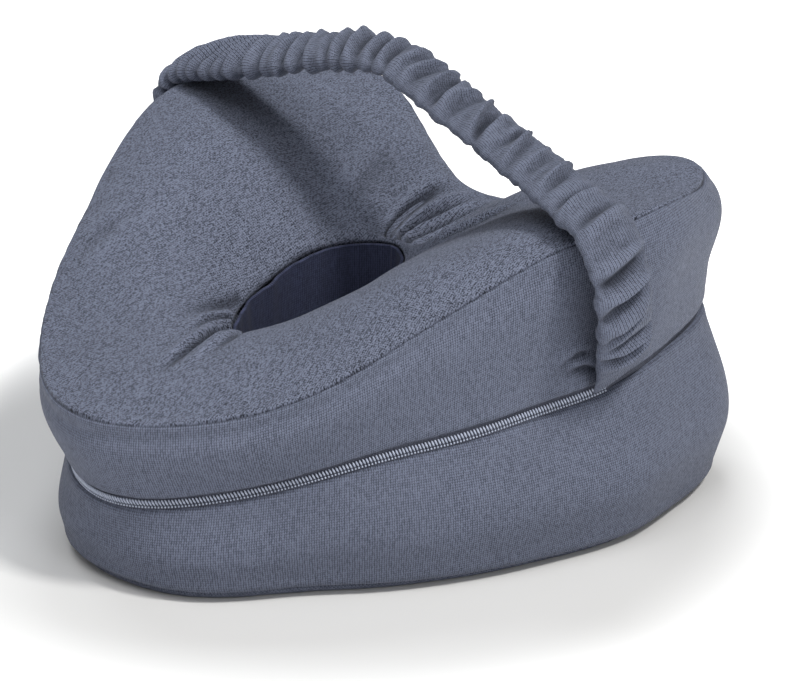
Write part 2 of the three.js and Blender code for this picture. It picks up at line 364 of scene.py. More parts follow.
    @staticmethod
    def bend(before: Array, corner: Array, after: Array, roundness: float, steps: int = 24) -> Array:
        """Bend round a corner between its two neighbours.

        Args:
            before: The neighbour that the bend comes from.
            corner: The corner.
            after: The neighbour that the bend goes to.
            roundness: How much of each side the bend takes, from 0 to 1.
            steps: How many points to make.

        Returns:
            Points along the bend at each turn, (turns, steps, 3).
        """
        start = mix(corner, before, roundness)[:, None, :]
        end = mix(corner, after, roundness)[:, None, :]
        middle = corner[:, None, :]
        share = np.linspace(0.0, 1.0, steps)[None, :, None]
        return mix(mix(start, middle, share), mix(middle, end, share), share)

    @staticmethod
    def towards(start: Array, end: Array, distance: float) -> Array:
        """Step from one set of points towards another by a distance."""
        return start + unit(end - start) * distance

    def top_lattice(self, turn: Array, shares: Array) -> Array:
        """Make the top panel's surface, rolled down into the hole at its rim.

        Args:
            turn: The turns.
            shares: Shares of the way from the rim to the seam.

        Returns:
            The surface's points, (turns, shares, 3).
        """
        inner, outer = self.rim(turn), self.top_seam(turn)
        places = np.array([0.0, self.lip_share, self.brow_share, 1.0])
        heights = [inner[:, 2], self.along("lip_up", turn), self.along("brow_up", turn), outer[:, 2]]
        points = mix(inner[:, None, :], outer[:, None, :], shares[None, :, None])
        up = np.zeros(points.shape[:2])
        for index, height in enumerate(heights):
            others = np.delete(places, index)
            factor = np.prod((shares[:, None] - others) / (places[index] - others), axis=1)
            up += height[:, None] * factor[None, :]
        dip_x, dip_y, dip_size, dip_depth = self.near_dip
        away = ((points[:, :, 0] - dip_x) ** 2 + (points[:, :, 1] - dip_y) ** 2) / dip_size**2
        points[:, :, 2] = up - dip_depth * np.exp(-away)
        gone = np.clip(1.0 - run_lengths(points) / self.rim_round, 0.0, 1.0)
        points[:, :, 2] -= self.rim_round * (1.0 - np.sqrt(1.0 - gone**2))
        return points

    def lining_lattice(self, turn: Array, shares: Array) -> Array:
        """Make the vent hole's wall, from under the rolled rim down to the underside.

        Args:
            turn: The turns.
            shares: Shares of the way down.

        Returns:
            The surface's points, (turns, shares, 3).
        """
        upper = self.rim(turn) - np.array([0.0, 0.0, self.rim_round + self.lining_tuck[0]])
        lower = self.hole_bottom(turn) + np.array([0.0, 0.0, self.lining_tuck[1]])
        return mix(upper[:, None, :], lower[:, None, :], shares[None, :, None])

    def upper_lattice(self, turn: Array, shares: Array) -> Array:
        """Make the upper band's surface, from the top seam over the shoulder to the zip.

        Args:
            turn: The turns.
            shares: Shares of the way down.

        Returns:
            The surface's points, (turns, shares, 3).
        """
        seam, side, zip_line = self.top_seam(turn), self.shoulder(turn), self.waist(turn)
        curve = self.bend(seam, side, zip_line, self.shoulder_round)
        foot = self.towards(zip_line, side, self.slot(turn)[:, None])
        line = np.concatenate([seam[:, None, :], curve, foot[:, None, :]], axis=1)
        return respaced(line, shares)

    def tape_lattice(self, turn: Array) -> Array:
        """Make the zip tape's surface in the waist, with both its borders tucked in under the bands.

        Args:
            turn: The turns.

        Returns:
            The surface's points, (turns, 9, 3).
        """
        zip_line, side, wide = self.waist(turn), self.shoulder(turn), self.swell(turn)
        above = [self.towards(zip_line, side, reach) for reach in self.tape_reaches]
        below = [self.towards(zip_line, wide, reach) for reach in self.tape_reaches[::-1]]
        return np.stack([*above, zip_line, *below], axis=1)

    def lower_lattice(self, turn: Array, shares: Array) -> Array:
        """Make the lower band's surface, from the zip over the swell to the base seam.

        Args:
            turn: The turns.
            shares: Shares of the way down.

        Returns:
            The surface's points, (turns, shares, 3).
        """
        zip_line, wide = self.waist(turn), self.swell(turn)
        foot, low = self.side_foot(turn), self.base_seam(turn)
        head = self.towards(zip_line, wide, self.slot(turn)[:, None])
        corner = foot * np.array([1.0, 1.0, 0.0]) + low * np.array([0.0, 0.0, 1.0])
        side = self.bend(zip_line, wide, foot, self.swell_round)
        under = self.bend(foot, corner, low, self.foot_round)
        line = np.concatenate([head[:, None, :], side, under, low[:, None, :]], axis=1)
        return respaced(line, shares)

    def base_lattice(self, turn: Array, shares: Array) -> Array:
        """Make the underside, rolled up at its edge to the base seam.

        Args:
            turn: The turns.
            shares: Shares of the way in to the hole.

        Returns:
            The surface's points, (turns, shares, 3).
        """
        low, edge, bottom = self.base_seam(turn), self.contact(turn), self.hole_bottom(turn)
        corner = low * np.array([1.0, 1.0, 0.0])
        curve = self.bend(low, corner, edge, self.base_round)
        line = np.concatenate([low[:, None, :], curve, edge[:, None, :], bottom[:, None, :]], axis=1)
        return respaced(line, shares)


# Folds and seams in the cloth


@dataclass(frozen=True)
class Crease:
    """One soft fold: a ridge where its rise is above 0, a trough below, strongest between its two ends."""

    path: tuple[tuple[float, float], ...]
    rise: float
    width: float
    grow: float = 0.15
    fade: float = 0.5

    def height(self, plan: Array) -> Array:
        """Work out the fold's height over points seen in plan.

        Args:
            plan: The points' first two coordinates in the path's own plane.

        Returns:
            The height at each point.
        """
        path = np.array(self.path)
        lengths = np.linalg.norm(np.diff(path, axis=0), axis=1)
        starts = np.concatenate([[0.0], np.cumsum(lengths)])
        best = np.full(plan.shape[:-1], np.inf)
        share = np.zeros(plan.shape[:-1])
        for index, length in enumerate(lengths):
            leg = (path[index + 1] - path[index]) / length
            reach = np.clip((plan - path[index]) @ leg, 0.0, length)
            away = np.linalg.norm(plan - path[index] - reach[..., None] * leg, axis=-1)
            nearer = away < best
            best = np.where(nearer, away, best)
            share = np.where(nearer, (starts[index] + reach) / starts[-1], share)
        taper = smooth(share / self.grow) * smooth((1.0 - share) / self.fade)
        width = self.width * mix(0.7, 1.5, share)
        return self.rise * taper * np.exp(-((best / width) ** 2))


BACK_FOLDS = (
    Crease(
        (
            (-7.1, 41.8), (-11.4, 47.9), (-14.2, 56.7), (-15.2, 65.2),
            (-15.4, 74.0), (-16.2, 83.4), (-19.7, 95.5),
        ),
        1.3, 2.0, 0.1, 0.4,
    ),
    Crease(
        (
            (-3.8, 40.0), (-9.6, 46.9), (-12.3, 55.8), (-13.4, 64.0),
            (-13.3, 72.8), (-13.8, 81.9), (-15.5, 91.8),
        ),
        -3.2, 1.7, 0.03, 0.45,
    ),
    Crease(
        ((-1.6, 40.0), (-8.0, 49.3), (-9.8, 58.6), (-9.2, 67.4), (-7.4, 77.5), (-6.4, 84.3), (-6.7, 92.0)),
        1.9, 1.4, 0.05, 0.3,
    ),
    Crease(
        ((0.6, 41.0), (-6.2, 50.3), (-6.9, 59.6), (-5.6, 68.1), (-3.4, 76.5), (-2.4, 83.5), (-1.0, 89.7)),
        -1.9, 1.1, 0.05, 0.4,
    ),
    Crease(
        ((1.4, 42.0), (-3.3, 48.9), (-4.6, 57.9), (-2.4, 65.6), (-0.3, 73.5), (1.7, 82.9), (4.8, 91.3)),
        1.7, 1.3, 0.05, 0.3,
    ),
    Crease(
        ((3.2, 42.5), (-0.6, 48.5), (-0.9, 56.7), (1.5, 64.2), (4.1, 71.9), (7.5, 79.7), (12.2, 85.7)),
        -2.0, 1.3, 0.05, 0.4,
    ),
    Crease(
        ((6.0, 42.0), (3.4, 49.0), (4.2, 57.0), (7.5, 65.0), (12.1, 72.6), (18.0, 79.0)),
        1.2, 1.5, 0.1, 0.5,
    ),
    Crease(((8.4, 40.6), (8.0, 48.0), (10.2, 55.5), (15.0, 63.5), (21.0, 70.5)), -1.5, 1.5, 0.1, 0.5),
    Crease(((14.1, 41.8), (22.8, 45.5), (30.5, 49.4), (37.2, 54.2), (44.7, 58.0)), 0.9, 1.6, 0.2, 0.4),
    Crease(((17.5, 37.8), (25.2, 43.1), (33.3, 46.8), (39.9, 51.9), (48.5, 54.7)), -1.2, 1.7, 0.2, 0.4),
)

NOSE_FOLDS = (
    Crease(
        ((-17.1, -24.0), (-16.1, -35.0), (-15.1, -44.7), (-13.6, -56.2), (-12.2, -66.7)),
        -1.7, 2.6, 0.08, 0.8,
    ),
    Crease(
        ((-14.4, -33.8), (-13.0, -42.9), (-11.2, -51.8), (-8.5, -59.9), (-6.0, -68.9)),
        1.0, 1.4, 0.08, 0.6,
    ),
    Crease(
        ((-12.4, -35.0), (-10.9, -45.2), (-9.0, -53.2), (-6.1, -61.2), (-3.1, -70.7)),
        -1.5, 1.2, 0.05, 0.6,
    ),
    Crease(
        ((-10.6, -38.0), (-8.9, -46.6), (-6.8, -54.0), (-3.9, -61.1), (-1.0, -69.9)),
        1.0, 1.1, 0.05, 0.6,
    ),
    Crease(((-8.7, -41.0), (-7.3, -47.9), (-5.2, -54.6), (-2.4, -62.5)), -1.3, 0.9, 0.05, 0.6),
    Crease(
        (
            (-6.9, -42.5), (-5.8, -49.4), (-3.6, -56.0), (-0.6, -63.0),
            (1.6, -71.4), (2.7, -77.4), (3.4, -82.9), (3.7, -94.1),
        ),
        1.8, 1.3, 0.04, 0.5,
    ),
    Crease(
        (
            (-4.9, -43.6), (-1.6, -55.1), (3.2, -66.2), (5.6, -75.2),
            (6.6, -81.5), (7.5, -88.4), (7.7, -97.1),
        ),
        -2.7, 1.6, 0.04, 0.45,
    ),
    Crease(
        ((-2.6, -44.6), (0.2, -52.0), (3.6, -59.4), (6.6, -66.4), (8.7, -72.6), (10.0, -79.0)),
        1.2, 1.1, 0.04, 0.7,
    ),
    Crease(
        ((-0.8, -45.0), (2.4, -53.6), (6.0, -61.0), (9.0, -68.0), (11.0, -74.6)),
        -1.5, 1.0, 0.04, 0.7,
    ),
    Crease(
        (
            (1.6, -45.0), (5.6, -55.2), (9.2, -63.0), (11.8, -70.6),
            (13.0, -78.0), (13.4, -84.1), (13.2, -92.8),
        ),
        1.7, 1.3, 0.04, 0.55,
    ),
    Crease(
        ((4.6, -44.6), (9.0, -54.6), (12.8, -62.4), (15.0, -70.2), (16.1, -76.5), (16.6, -84.0)),
        -1.7, 1.9, 0.04, 0.7,
    ),
)

BAND_FOLDS = (
    Crease(((24.5, 68.7), (18.2, 71.9), (12.5, 71.7), (8.4, 67.5)), -1.7, 1.5, 0.1, 0.6),
    Crease(((25.0, 71.7), (18.6, 74.6), (12.0, 74.4), (7.0, 70.0)), 1.4, 1.5, 0.1, 0.6),
    Crease(((19.8, 77.6), (14.5, 77.7), (9.4, 74.8), (5.3, 68.9)), -1.5, 1.5, 0.1, 0.6),
    Crease(((20.0, 80.6), (14.0, 80.9), (8.4, 77.6), (4.0, 71.5)), 1.0, 1.8, 0.1, 0.6),
)

WING_FOLDS = (
    Crease(((-65.0, -72.0), (-61.0, -45.0), (-62.0, -7.0)), 0.45, 5.0, 0.3, 0.5),
    Crease(((-78.5, -51.3), (-70.3, -30.6), (-68.4, -6.1)), 0.45, 5.0, 0.3, 0.5),
    Crease(((-71.0, -62.0), (-66.0, -38.0), (-65.0, -8.0)), -0.45, 4.5, 0.3, 0.5),
    Crease(((-23.5, 40.0), (-30.6, 58.9), (-37.0, 80.7)), -0.7, 4.0, 0.3, 0.4),
    Crease(((-29.5, 37.0), (-36.6, 56.0), (-43.5, 78.0)), 0.6, 4.5, 0.3, 0.4),
)


def seam_drop(distance: Array, depth: float, reach: float, welt: float = 0.0) -> Array:
    """Sink cloth sharply into a sewn edge, over the welt that the turned-in cloth makes beside it.

    Args:
        distance: How far each point is from the edge.
        depth: How deep the edge lies.
        reach: How far from the edge the cloth starts to sink.
        welt: How high the cloth stands beside the edge.

    Returns:
        The height of each point.
    """
    roll = welt * bell(distance - WELT_WIDTH, WELT_WIDTH)
    sunk = (depth + welt) * bell(distance, reach)
    return roll - sunk


def edge_shares(count: int, edge: float, fine: int) -> Array:
    """Return the shares of even lattice lines, with a number of fine ones in a stretch beside both edges."""
    first = np.linspace(0.0, edge, fine)
    return np.concatenate([first, np.linspace(edge, 1.0 - edge, count)[1:-1], 1.0 - first[::-1]])


@dataclass(frozen=True)
class Puckers:
    """Small uneven waves that a sewn edge draws the cloth up in."""

    rise: float
    length: float
    reach: float
    seed: int
    count: int = 7

    def height(self, run: Array, distance: Array) -> Array:
        """Work out the waves' height.

        Args:
            run: How far along the edge each point is.
            distance: How far from the edge it is.

        Returns:
            The height of each point.
        """
        line = np.stack([run, run * 0.0, run * 0.0], axis=-1)
        waves = gentle_waves(line, self.length, self.seed, self.count)
        return self.rise * waves * np.exp(-distance / self.reach)


TOP_PUCKERS = Puckers(0.16, 9.0, 5.0, 3)
LINING_PUCKERS = Puckers(0.5, 9.0, 22.0, 11)
BAND_PUCKERS = Puckers(0.18, 8.0, 6.0, 7)
ZIP_PUCKERS = Puckers(0.12, 7.0, 4.0, 8)
BASE_PUCKERS = Puckers(0.14, 9.0, 5.0, 17)


@dataclass
class ClothSheet:
    """A closed sheet of cloth on a lattice that goes once round the cushion.

    A dished sheet is unwrapped to lay it out flat, by way of a coarser copy, which takes one of every
    coarse_turns of its turns and about coarse_places of its places.
    """

    name: str
    lattice: Array
    lift: Array
    thick: float = 1.2
    dished: bool = False
    # Painted shade on each point, darker in troughs and along seams, lighter on ridges; or none
    painted_shade: Array | None = None
    coarse_turns: int = 6
    coarse_places: int = 17

    def normals(self, points: Array) -> Array:
        """Work out outward directions on a lattice.

        Args:
            points: The lattice's points.

        Returns:
            A unit vector for each point.
        """
        round_way = np.roll(points, -1, axis=0) - np.roll(points, 1, axis=0)
        down_way = np.gradient(points, axis=1)
        return unit(np.cross(down_way, round_way))

    def surface(self) -> Array:
        """Return the cloth's outer side, with its folds."""
        return self.lattice + self.normals(self.lattice) * self.lift[..., None]

    def strip_places(self, points: Array) -> Array:
        """Lay a band out flat: along its middle, and up or down from there.

        Args:
            points: The outer side.

        Returns:
            Flat coordinates in metres, with the first turn's column again at the end.
        """
        half = points.shape[1] // 2
        closed = np.concatenate([points, points[:1]], axis=0)
        along = run_lengths(np.swapaxes(closed, 0, 1)[half][None])[0]
        down = run_lengths(closed)
        down -= down[:, half : half + 1]
        return np.stack([np.broadcast_to(along[:, None], down.shape), -down], axis=-1) * MM

    def panel_places(self, points: Array) -> Array:
        """Lay a dished panel out flat with little stretch, by unwrapping a coarse copy of it.

        Args:
            points: The outer side.

        Returns:
            Flat coordinates in metres, with the first turn's column again at the end.
        """
        turns, run = len(points), run_lengths(points).mean(axis=0)
        rows = np.arange(0, turns, self.coarse_turns)
        goals = np.linspace(0.0, run[-1], self.coarse_places)
        picks = np.unique([int(np.abs(run - goal).argmin()) for goal in goals])
        coarse = points[rows][:, picks]
        count, places = coarse.shape[:2]
        faces = lattice_faces((count, places), (True, False))[2]
        copy = mesh_object("coarse copy", coarse.reshape(-1, 3) * MM, faces, np.zeros((faces.size, 2)))
        select_only(copy)
        bpy.ops.object.mode_set(mode="EDIT")
        bpy.ops.mesh.select_all(action="SELECT")
        bpy.ops.uv.unwrap(method="MINIMUM_STRETCH", iterations=20, margin=0.0)
        bpy.ops.object.mode_set(mode="OBJECT")
        found = np.zeros(2 * faces.size, dtype=np.float32)
        copy.data.uv_layers["flat"].data.foreach_get("uv", found)
        flat = np.zeros((count * places, 2))
        flat[faces.ravel()] = found.reshape(-1, 2)
        bpy.data.meshes.remove(copy.data)
        flat = flat.reshape(count, places, 2)
        true_step = np.linalg.norm(np.diff(coarse, axis=1), axis=-1)
        flat *= np.median(true_step / np.linalg.norm(np.diff(flat, axis=1), axis=-1))
        flat -= flat.mean(axis=(0, 1))
        plan = coarse[..., :2] - coarse[..., :2].mean(axis=(0, 1))
        left, _, right = np.linalg.svd(flat.reshape(-1, 2).T @ plan.reshape(-1, 2))
        flat = flat @ (left @ right)
        closed = np.concatenate([flat, flat[:1]])
        at = np.append(rows, turns)
        fine = np.empty((turns + 1, points.shape[1], 2))
        for axis in range(2):
            by_run = np.stack([np.interp(run, run[picks], line) for line in closed[..., axis]])
            for place in range(points.shape[1]):
                fine[:, place, axis] = np.interp(np.arange(turns + 1), at, by_run[:, place])
        return fine * MM

    def build(self, lowest: float | None = None) -> bpy.types.Object:
        """Make the sheet's mesh, both sides and both edges.

        Args:
            lowest: No point goes below this height, in millimetres.

        Returns:
            The new object.
        """
        outer = self.surface()
        inner = outer - self.normals(outer) * self.thick
        if lowest is not None:
            outer[..., 2] = np.maximum(outer[..., 2], lowest)
            inner[..., 2] = np.maximum(inner[..., 2], lowest + self.thick)
        turns, places = outer.shape[:2]
        points = np.concatenate([outer.reshape(-1, 3), inner.reshape(-1, 3)]) * MM
        i, j, front = lattice_faces((turns, places), (True, False))
        k, last, half = np.arange(turns), places - 1, turns * places
        here, following = k * places, (k + 1) % turns * places
        upper = np.stack([here, following, following + half, here + half], axis=1)
        lower = np.stack([here, here + half, following + half, following], axis=1) + last
        faces = np.concatenate([front, front[:, ::-1] + half, upper, lower])
        flat = self.panel_places(self.lattice) if self.dished else self.strip_places(self.lattice)
        far = i + 1
        corners = np.stack([flat[i, j], flat[i, j + 1], flat[far, j + 1], flat[far, j]], axis=1)
        edge_flat = np.stack([flat[k, 0], flat[k + 1, 0], flat[k + 1, 0], flat[k, 0]], axis=1)
        low_flat = np.stack([flat[k, last], flat[k, last], flat[k + 1, last], flat[k + 1, last]], axis=1)
        uv = np.concatenate([corners, corners[:, ::-1], edge_flat, low_flat]).reshape(-1, 2)
        piece = mesh_object(self.name, points, faces, uv)
        # Keep the painted shade on both sides of the cloth
        if self.painted_shade is not None:
            mark_painted_shade(piece, np.tile(self.painted_shade.ravel(), 2))
        return piece


def mesh_object(name: str, points: Array, faces: Array, uv: Array | None = None) -> bpy.types.Object:
    """Make a smooth-shaded mesh object at the origin.

    Args:
        name: The piece's name.
        points: Its points in metres.
        faces: Its four-sided faces.
        uv: Flat coordinates for each corner of each face.

    Returns:
        The new object.
    """
    mesh = bpy.data.meshes.new(name)
    mesh.from_pydata(points.tolist(), [], faces.tolist())
    if uv is not None:
        layer = mesh.uv_layers.new(name="flat")
        layer.data.foreach_set("uv", np.ascontiguousarray(uv, dtype=np.float32).ravel())
    mesh.shade_smooth()
    mesh.validate()
    piece = bpy.data.objects.new(name, mesh)
    bpy.context.scene.collection.objects.link(piece)
    return piece


def mark_painted_shade(piece: bpy.types.Object, painted_shade: Array) -> None:
    """Keep on each point the painted shade that darkens the cloth's colour, from 0 to 1, or below 0 a painted
    highlight that lightens it.
    """
    marks = piece.data.attributes.new("painted_cloth_shade", "FLOAT", "POINT")
    marks.data.foreach_set("value", painted_shade.ravel().astype(np.float32))


def select_only(piece: bpy.types.Object) -> None:
    """Select one object and make it the active one.

    Args:
        piece: The object.
    """
    for other in bpy.context.scene.objects:
        other.select_set(other == piece)
    bpy.context.view_layer.objects.active = piece


# Finishes


class Nodes:
    """A small hand for wiring shader nodes."""

    def __init__(self, tree: bpy.types.NodeTree) -> None:
        """Work on one node tree."""
        self.tree = tree

    def add(self, kind: str, **values: object) -> bpy.types.Node:
        """Add a node and set its plain values.

        Args:
            kind: The node's type name.
            **values: Its properties, by name.

        Returns:
            The node.
        """
        node = self.tree.nodes.new(kind)
        for key, value in values.items():
            setattr(node, key, value)
        return node

    def join(self, source: bpy.types.NodeSocket, target: bpy.types.NodeSocket) -> None:
        """Wire an output socket to an input socket."""
        self.tree.links.new(source, target)

    def math(self, kind: str, *terms: bpy.types.NodeSocket | float) -> bpy.types.NodeSocket:
        """Add a math node.

        Args:
            kind: What it does.
            *terms: Sockets or numbers.

        Returns:
            Its output.
        """
        node = self.add("ShaderNodeMath", operation=kind)
        for socket, term in zip(node.inputs, terms):
            if isinstance(term, (int, float)):
                socket.default_value = term
            else:
                self.join(term, socket)
        return node.outputs[0]

    def raise_by(self, height: bpy.types.NodeSocket, distance: float, shader: bpy.types.Node) -> None:
        """Give a shader a bump.

        Args:
            height: The relief from 0 to 1.
            distance: How high 1 is, in metres.
            shader: The shader.
        """
        bump = self.add("ShaderNodeBump")
        bump.inputs["Strength"].default_value = 1.0
        bump.inputs["Distance"].default_value = distance
        self.join(height, bump.inputs["Height"])
        self.join(bump.outputs["Normal"], shader.inputs["Normal"])

    def blend(self, factor: bpy.types.NodeSocket, low: tuple, high: tuple) -> bpy.types.NodeSocket:
        """Mix two fixed colours.

        Args:
            factor: How much of the second.
            low: The first colour.
            high: The second colour.

        Returns:
            The mixed colour's output.
        """
        node = self.add("ShaderNodeMix", data_type="RGBA")
        self.join(factor, node.inputs["Factor"])
        node.inputs[6].default_value = (*low, 1.0)
        node.inputs[7].default_value = (*high, 1.0)
        return node.outputs[2]


def new_material(name: str) -> tuple[bpy.types.Material, Nodes, bpy.types.Node]:
    """Start a material with a principled shader.

    Args:
        name: The material's name.

    Returns:
        The material, its wiring hand and its shader.
    """
    made = bpy.data.materials.new(name)
    made.use_nodes = True
    return made, Nodes(made.node_tree), made.node_tree.nodes["Principled BSDF"]


def new_group(name: str, inputs: dict[str, str], outputs: dict[str, str]) -> tuple[Nodes, object, object]:
    """Start a shader node group.

    Args:
        name: The group's name.
        inputs: Socket names and kinds.
        outputs: Socket names and kinds.

    Returns:
        The wiring hand, the group's input node and its output node.
    """
    group = bpy.data.node_groups.new(name, "ShaderNodeTree")
    for label, kind in inputs.items():
        group.interface.new_socket(label, in_out="INPUT", socket_type=kind)
    for label, kind in outputs.items():
        group.interface.new_socket(label, in_out="OUTPUT", socket_type=kind)
    hand = Nodes(group)
    return hand, hand.add("NodeGroupInput"), hand.add("NodeGroupOutput")


def knit_group() -> bpy.types.NodeTree:
    """Build the knit: columns of V-shaped stitches, each of two rounded slanting legs, of unevenly dyed yarn.

    Returns:
        The group. Place is in metres, Wale and Course are a stitch's width and height, Height is the relief
        from 0 to 1, and Yarn is each stitch's own tone from 0 to 1.
    """
    slant, rounding, gap = 0.55, -0.75, -0.55
    takes = {"Place": "NodeSocketVector", "Wale": "NodeSocketFloat", "Course": "NodeSocketFloat"}
    gives = {"Height": "NodeSocketFloat", "Yarn": "NodeSocketFloat"}
    hand, given, put = new_group("knit stitches", takes, gives)
    split = hand.add("ShaderNodeSeparateXYZ")
    hand.join(given.outputs["Place"], split.inputs[0])
    column = hand.math("DIVIDE", split.outputs["X"], given.outputs["Wale"])
    aside = hand.math("ABSOLUTE", hand.math("MULTIPLY_ADD", hand.math("FRACT", column), 2.0, -1.0))
    rows = hand.math("DIVIDE", split.outputs["Y"], given.outputs["Course"])
    row = hand.math("MULTIPLY_ADD", aside, slant, rows)
    leg = hand.math("POWER", hand.math("MULTIPLY_ADD", aside, 2.0, -1.0), 2.0)
    bar = hand.math("POWER", hand.math("MULTIPLY_ADD", hand.math("FRACT", row), 2.0, -1.0), 2.0)
    round_leg = hand.math("MULTIPLY_ADD", leg, rounding, 1.0)
    round_bar = hand.math("MULTIPLY_ADD", bar, rounding, 1.0)
    stitch_height = hand.math("SQRT", hand.math("MULTIPLY", round_leg, round_bar))
    groove = hand.math("MULTIPLY_ADD", hand.math("POWER", aside, 3.0), gap, 1.0)
    hand.join(hand.math("MULTIPLY", stitch_height, groove), put.inputs["Height"])
    stitch = hand.add("ShaderNodeCombineXYZ")
    hand.join(hand.math("FLOOR", hand.math("MULTIPLY", column, 2.0)), stitch.inputs["X"])
    hand.join(hand.math("FLOOR", row), stitch.inputs["Y"])
    chance = hand.add("ShaderNodeTexWhiteNoise", noise_dimensions="2D")
    hand.join(stitch.outputs[0], chance.inputs["Vector"])
    hand.join(chance.outputs["Value"], put.inputs["Yarn"])
    return hand.tree


def melange_group() -> bpy.types.NodeTree:
    """Build the cloth's uneven tone: fine specks of the yarn, and broad faint clouds.

    Returns:
        The group. Place is in metres, and Streak and Cloud run from 0 to 1 round a half.
    """
    spreads = {"Streak": ((1450.0, 1750.0, 1.0), 1.0), "Cloud": ((60.0, 75.0, 1.0), 3.0)}
    marks = {label: "NodeSocketFloat" for label in spreads}
    hand, given, put = new_group("melange yarn", {"Place": "NodeSocketVector"}, marks)
    for label, (stretch, detail) in spreads.items():
        spread = hand.add("ShaderNodeVectorMath", operation="MULTIPLY")
        spread.inputs[1].default_value = stretch
        hand.join(given.outputs["Place"], spread.inputs[0])
        noise = hand.add("ShaderNodeTexNoise")
        noise.inputs["Scale"].default_value = 1.0
        noise.inputs["Detail"].default_value = detail
        hand.join(spread.outputs[0], noise.inputs["Vector"])
        hand.join(noise.outputs["Fac"], put.inputs[label])
    return hand.tree


@dataclass(frozen=True)
class KnitFinish:
    """A matt melange knit that follows the piece's own flat coordinates.

    Its tone, between dark and light, comes from the stitches' relief (contrast), each stitch's own dye
    (uneven), fine specks (grain), broad clouds (cloud), and the painted shade of folds and seams and the
    painted highlight of ridges kept on the piece (painted_shade_strength).
    """

    name: str
    dark: Point = (0.012, 0.014, 0.022)
    light: Point = (0.154, 0.173, 0.241)
    wale: float = 0.00088
    course: float = 0.00092
    relief: float = 0.00007
    contrast: float = 1.7
    uneven: float = 0.45
    grain: float = 0.5
    cloud: float = 0.12
    middle: float = 0.58
    painted_shade_strength: float = 0.9
    roughness: float = 0.9
    smoother: float = 0.1
    sheen: float = 0.05

    def material(self, knit: bpy.types.NodeTree, melange: bpy.types.NodeTree) -> bpy.types.Material:
        """Make the material.

        Args:
            knit: The stitch group.
            melange: The uneven tone's group.

        Returns:
            The material.
        """
        made, hand, shader = new_material(self.name)
        shader.inputs["Sheen Weight"].default_value = self.sheen
        shader.inputs["Sheen Roughness"].default_value = 0.5
        shader.inputs["Specular IOR Level"].default_value = 0.2
        place = hand.add("ShaderNodeUVMap", uv_map="flat").outputs["UV"]
        stitch = hand.add("ShaderNodeGroup", node_tree=knit)
        hand.join(place, stitch.inputs["Place"])
        stitch.inputs["Wale"].default_value = self.wale
        stitch.inputs["Course"].default_value = self.course
        yarn = hand.add("ShaderNodeGroup", node_tree=melange)
        hand.join(place, yarn.inputs["Place"])
        own = hand.math("MULTIPLY_ADD", stitch.outputs["Yarn"], self.uneven, 0.5 - self.uneven / 2)
        level = hand.math("SUBTRACT", stitch.outputs["Height"], self.middle)
        lit = hand.math("MULTIPLY_ADD", level, self.contrast, own)
        streaked = hand.math("MULTIPLY_ADD", yarn.outputs["Streak"], self.grain, -self.grain / 2)
        clouded = hand.math("MULTIPLY_ADD", yarn.outputs["Cloud"], self.cloud, -self.cloud / 2)
        clamp = hand.add("ShaderNodeClamp")
        hand.join(hand.math("ADD", lit, hand.math("ADD", streaked, clouded)), clamp.inputs["Value"])
        # Painted shade: the shade kept on the piece darkens the colour in troughs, valleys and along seams,
        # and lightens it on ridges and crests
        seam = hand.add("ShaderNodeAttribute", attribute_name="painted_cloth_shade").outputs["Fac"]
        lighter = hand.math("MULTIPLY_ADD", seam, -self.painted_shade_strength, 1.0)
        tone = hand.math("MULTIPLY", clamp.outputs[0], lighter)
        hand.join(hand.blend(tone, self.dark, self.light), shader.inputs["Base Color"])
        rough = hand.math("MULTIPLY_ADD", clamp.outputs[0], -self.smoother, self.roughness)
        hand.join(rough, shader.inputs["Roughness"])
        hand.raise_by(stitch.outputs["Height"], self.relief, shader)
        return made


@dataclass(frozen=True)
class CoilFinish:
    """Semi-matt dyed nylon, with a faint change of tone from tooth to tooth."""

    name: str = "coil nylon"
    dark: Point = (0.24, 0.27, 0.36)
    light: Point = (0.47, 0.51, 0.62)
    spread: float = 900.0
    roughness: float = 0.38
    rougher: float = 0.2
    relief: float = 0.00005

    def material(self) -> bpy.types.Material:
        """Make the material.

        Returns:
            The material.
        """
        made, hand, shader = new_material(self.name)
        noise = hand.add("ShaderNodeTexNoise")
        noise.inputs["Scale"].default_value = self.spread
        hand.join(hand.add("ShaderNodeTexCoord").outputs["Object"], noise.inputs["Vector"])
        speck = noise.outputs["Fac"]
        hand.join(hand.blend(speck, self.dark, self.light), shader.inputs["Base Color"])
        hand.join(hand.math("MULTIPLY_ADD", speck, self.rougher, self.roughness), shader.inputs["Roughness"])
        hand.raise_by(speck, self.relief, shader)
        return made


class Finish(Enum):
    """The finishes that pieces take: the record's slot, and what each is for."""

    KNIT = ("knit", "side bands and underside")
    TOP = ("knit", "top panel")
    LINING = ("lining", "vent lining")
    TAPE = ("tape", "zip tape")
    COIL = ("coil", "zip coil")
    STRAP = ("strap", "leg strap")


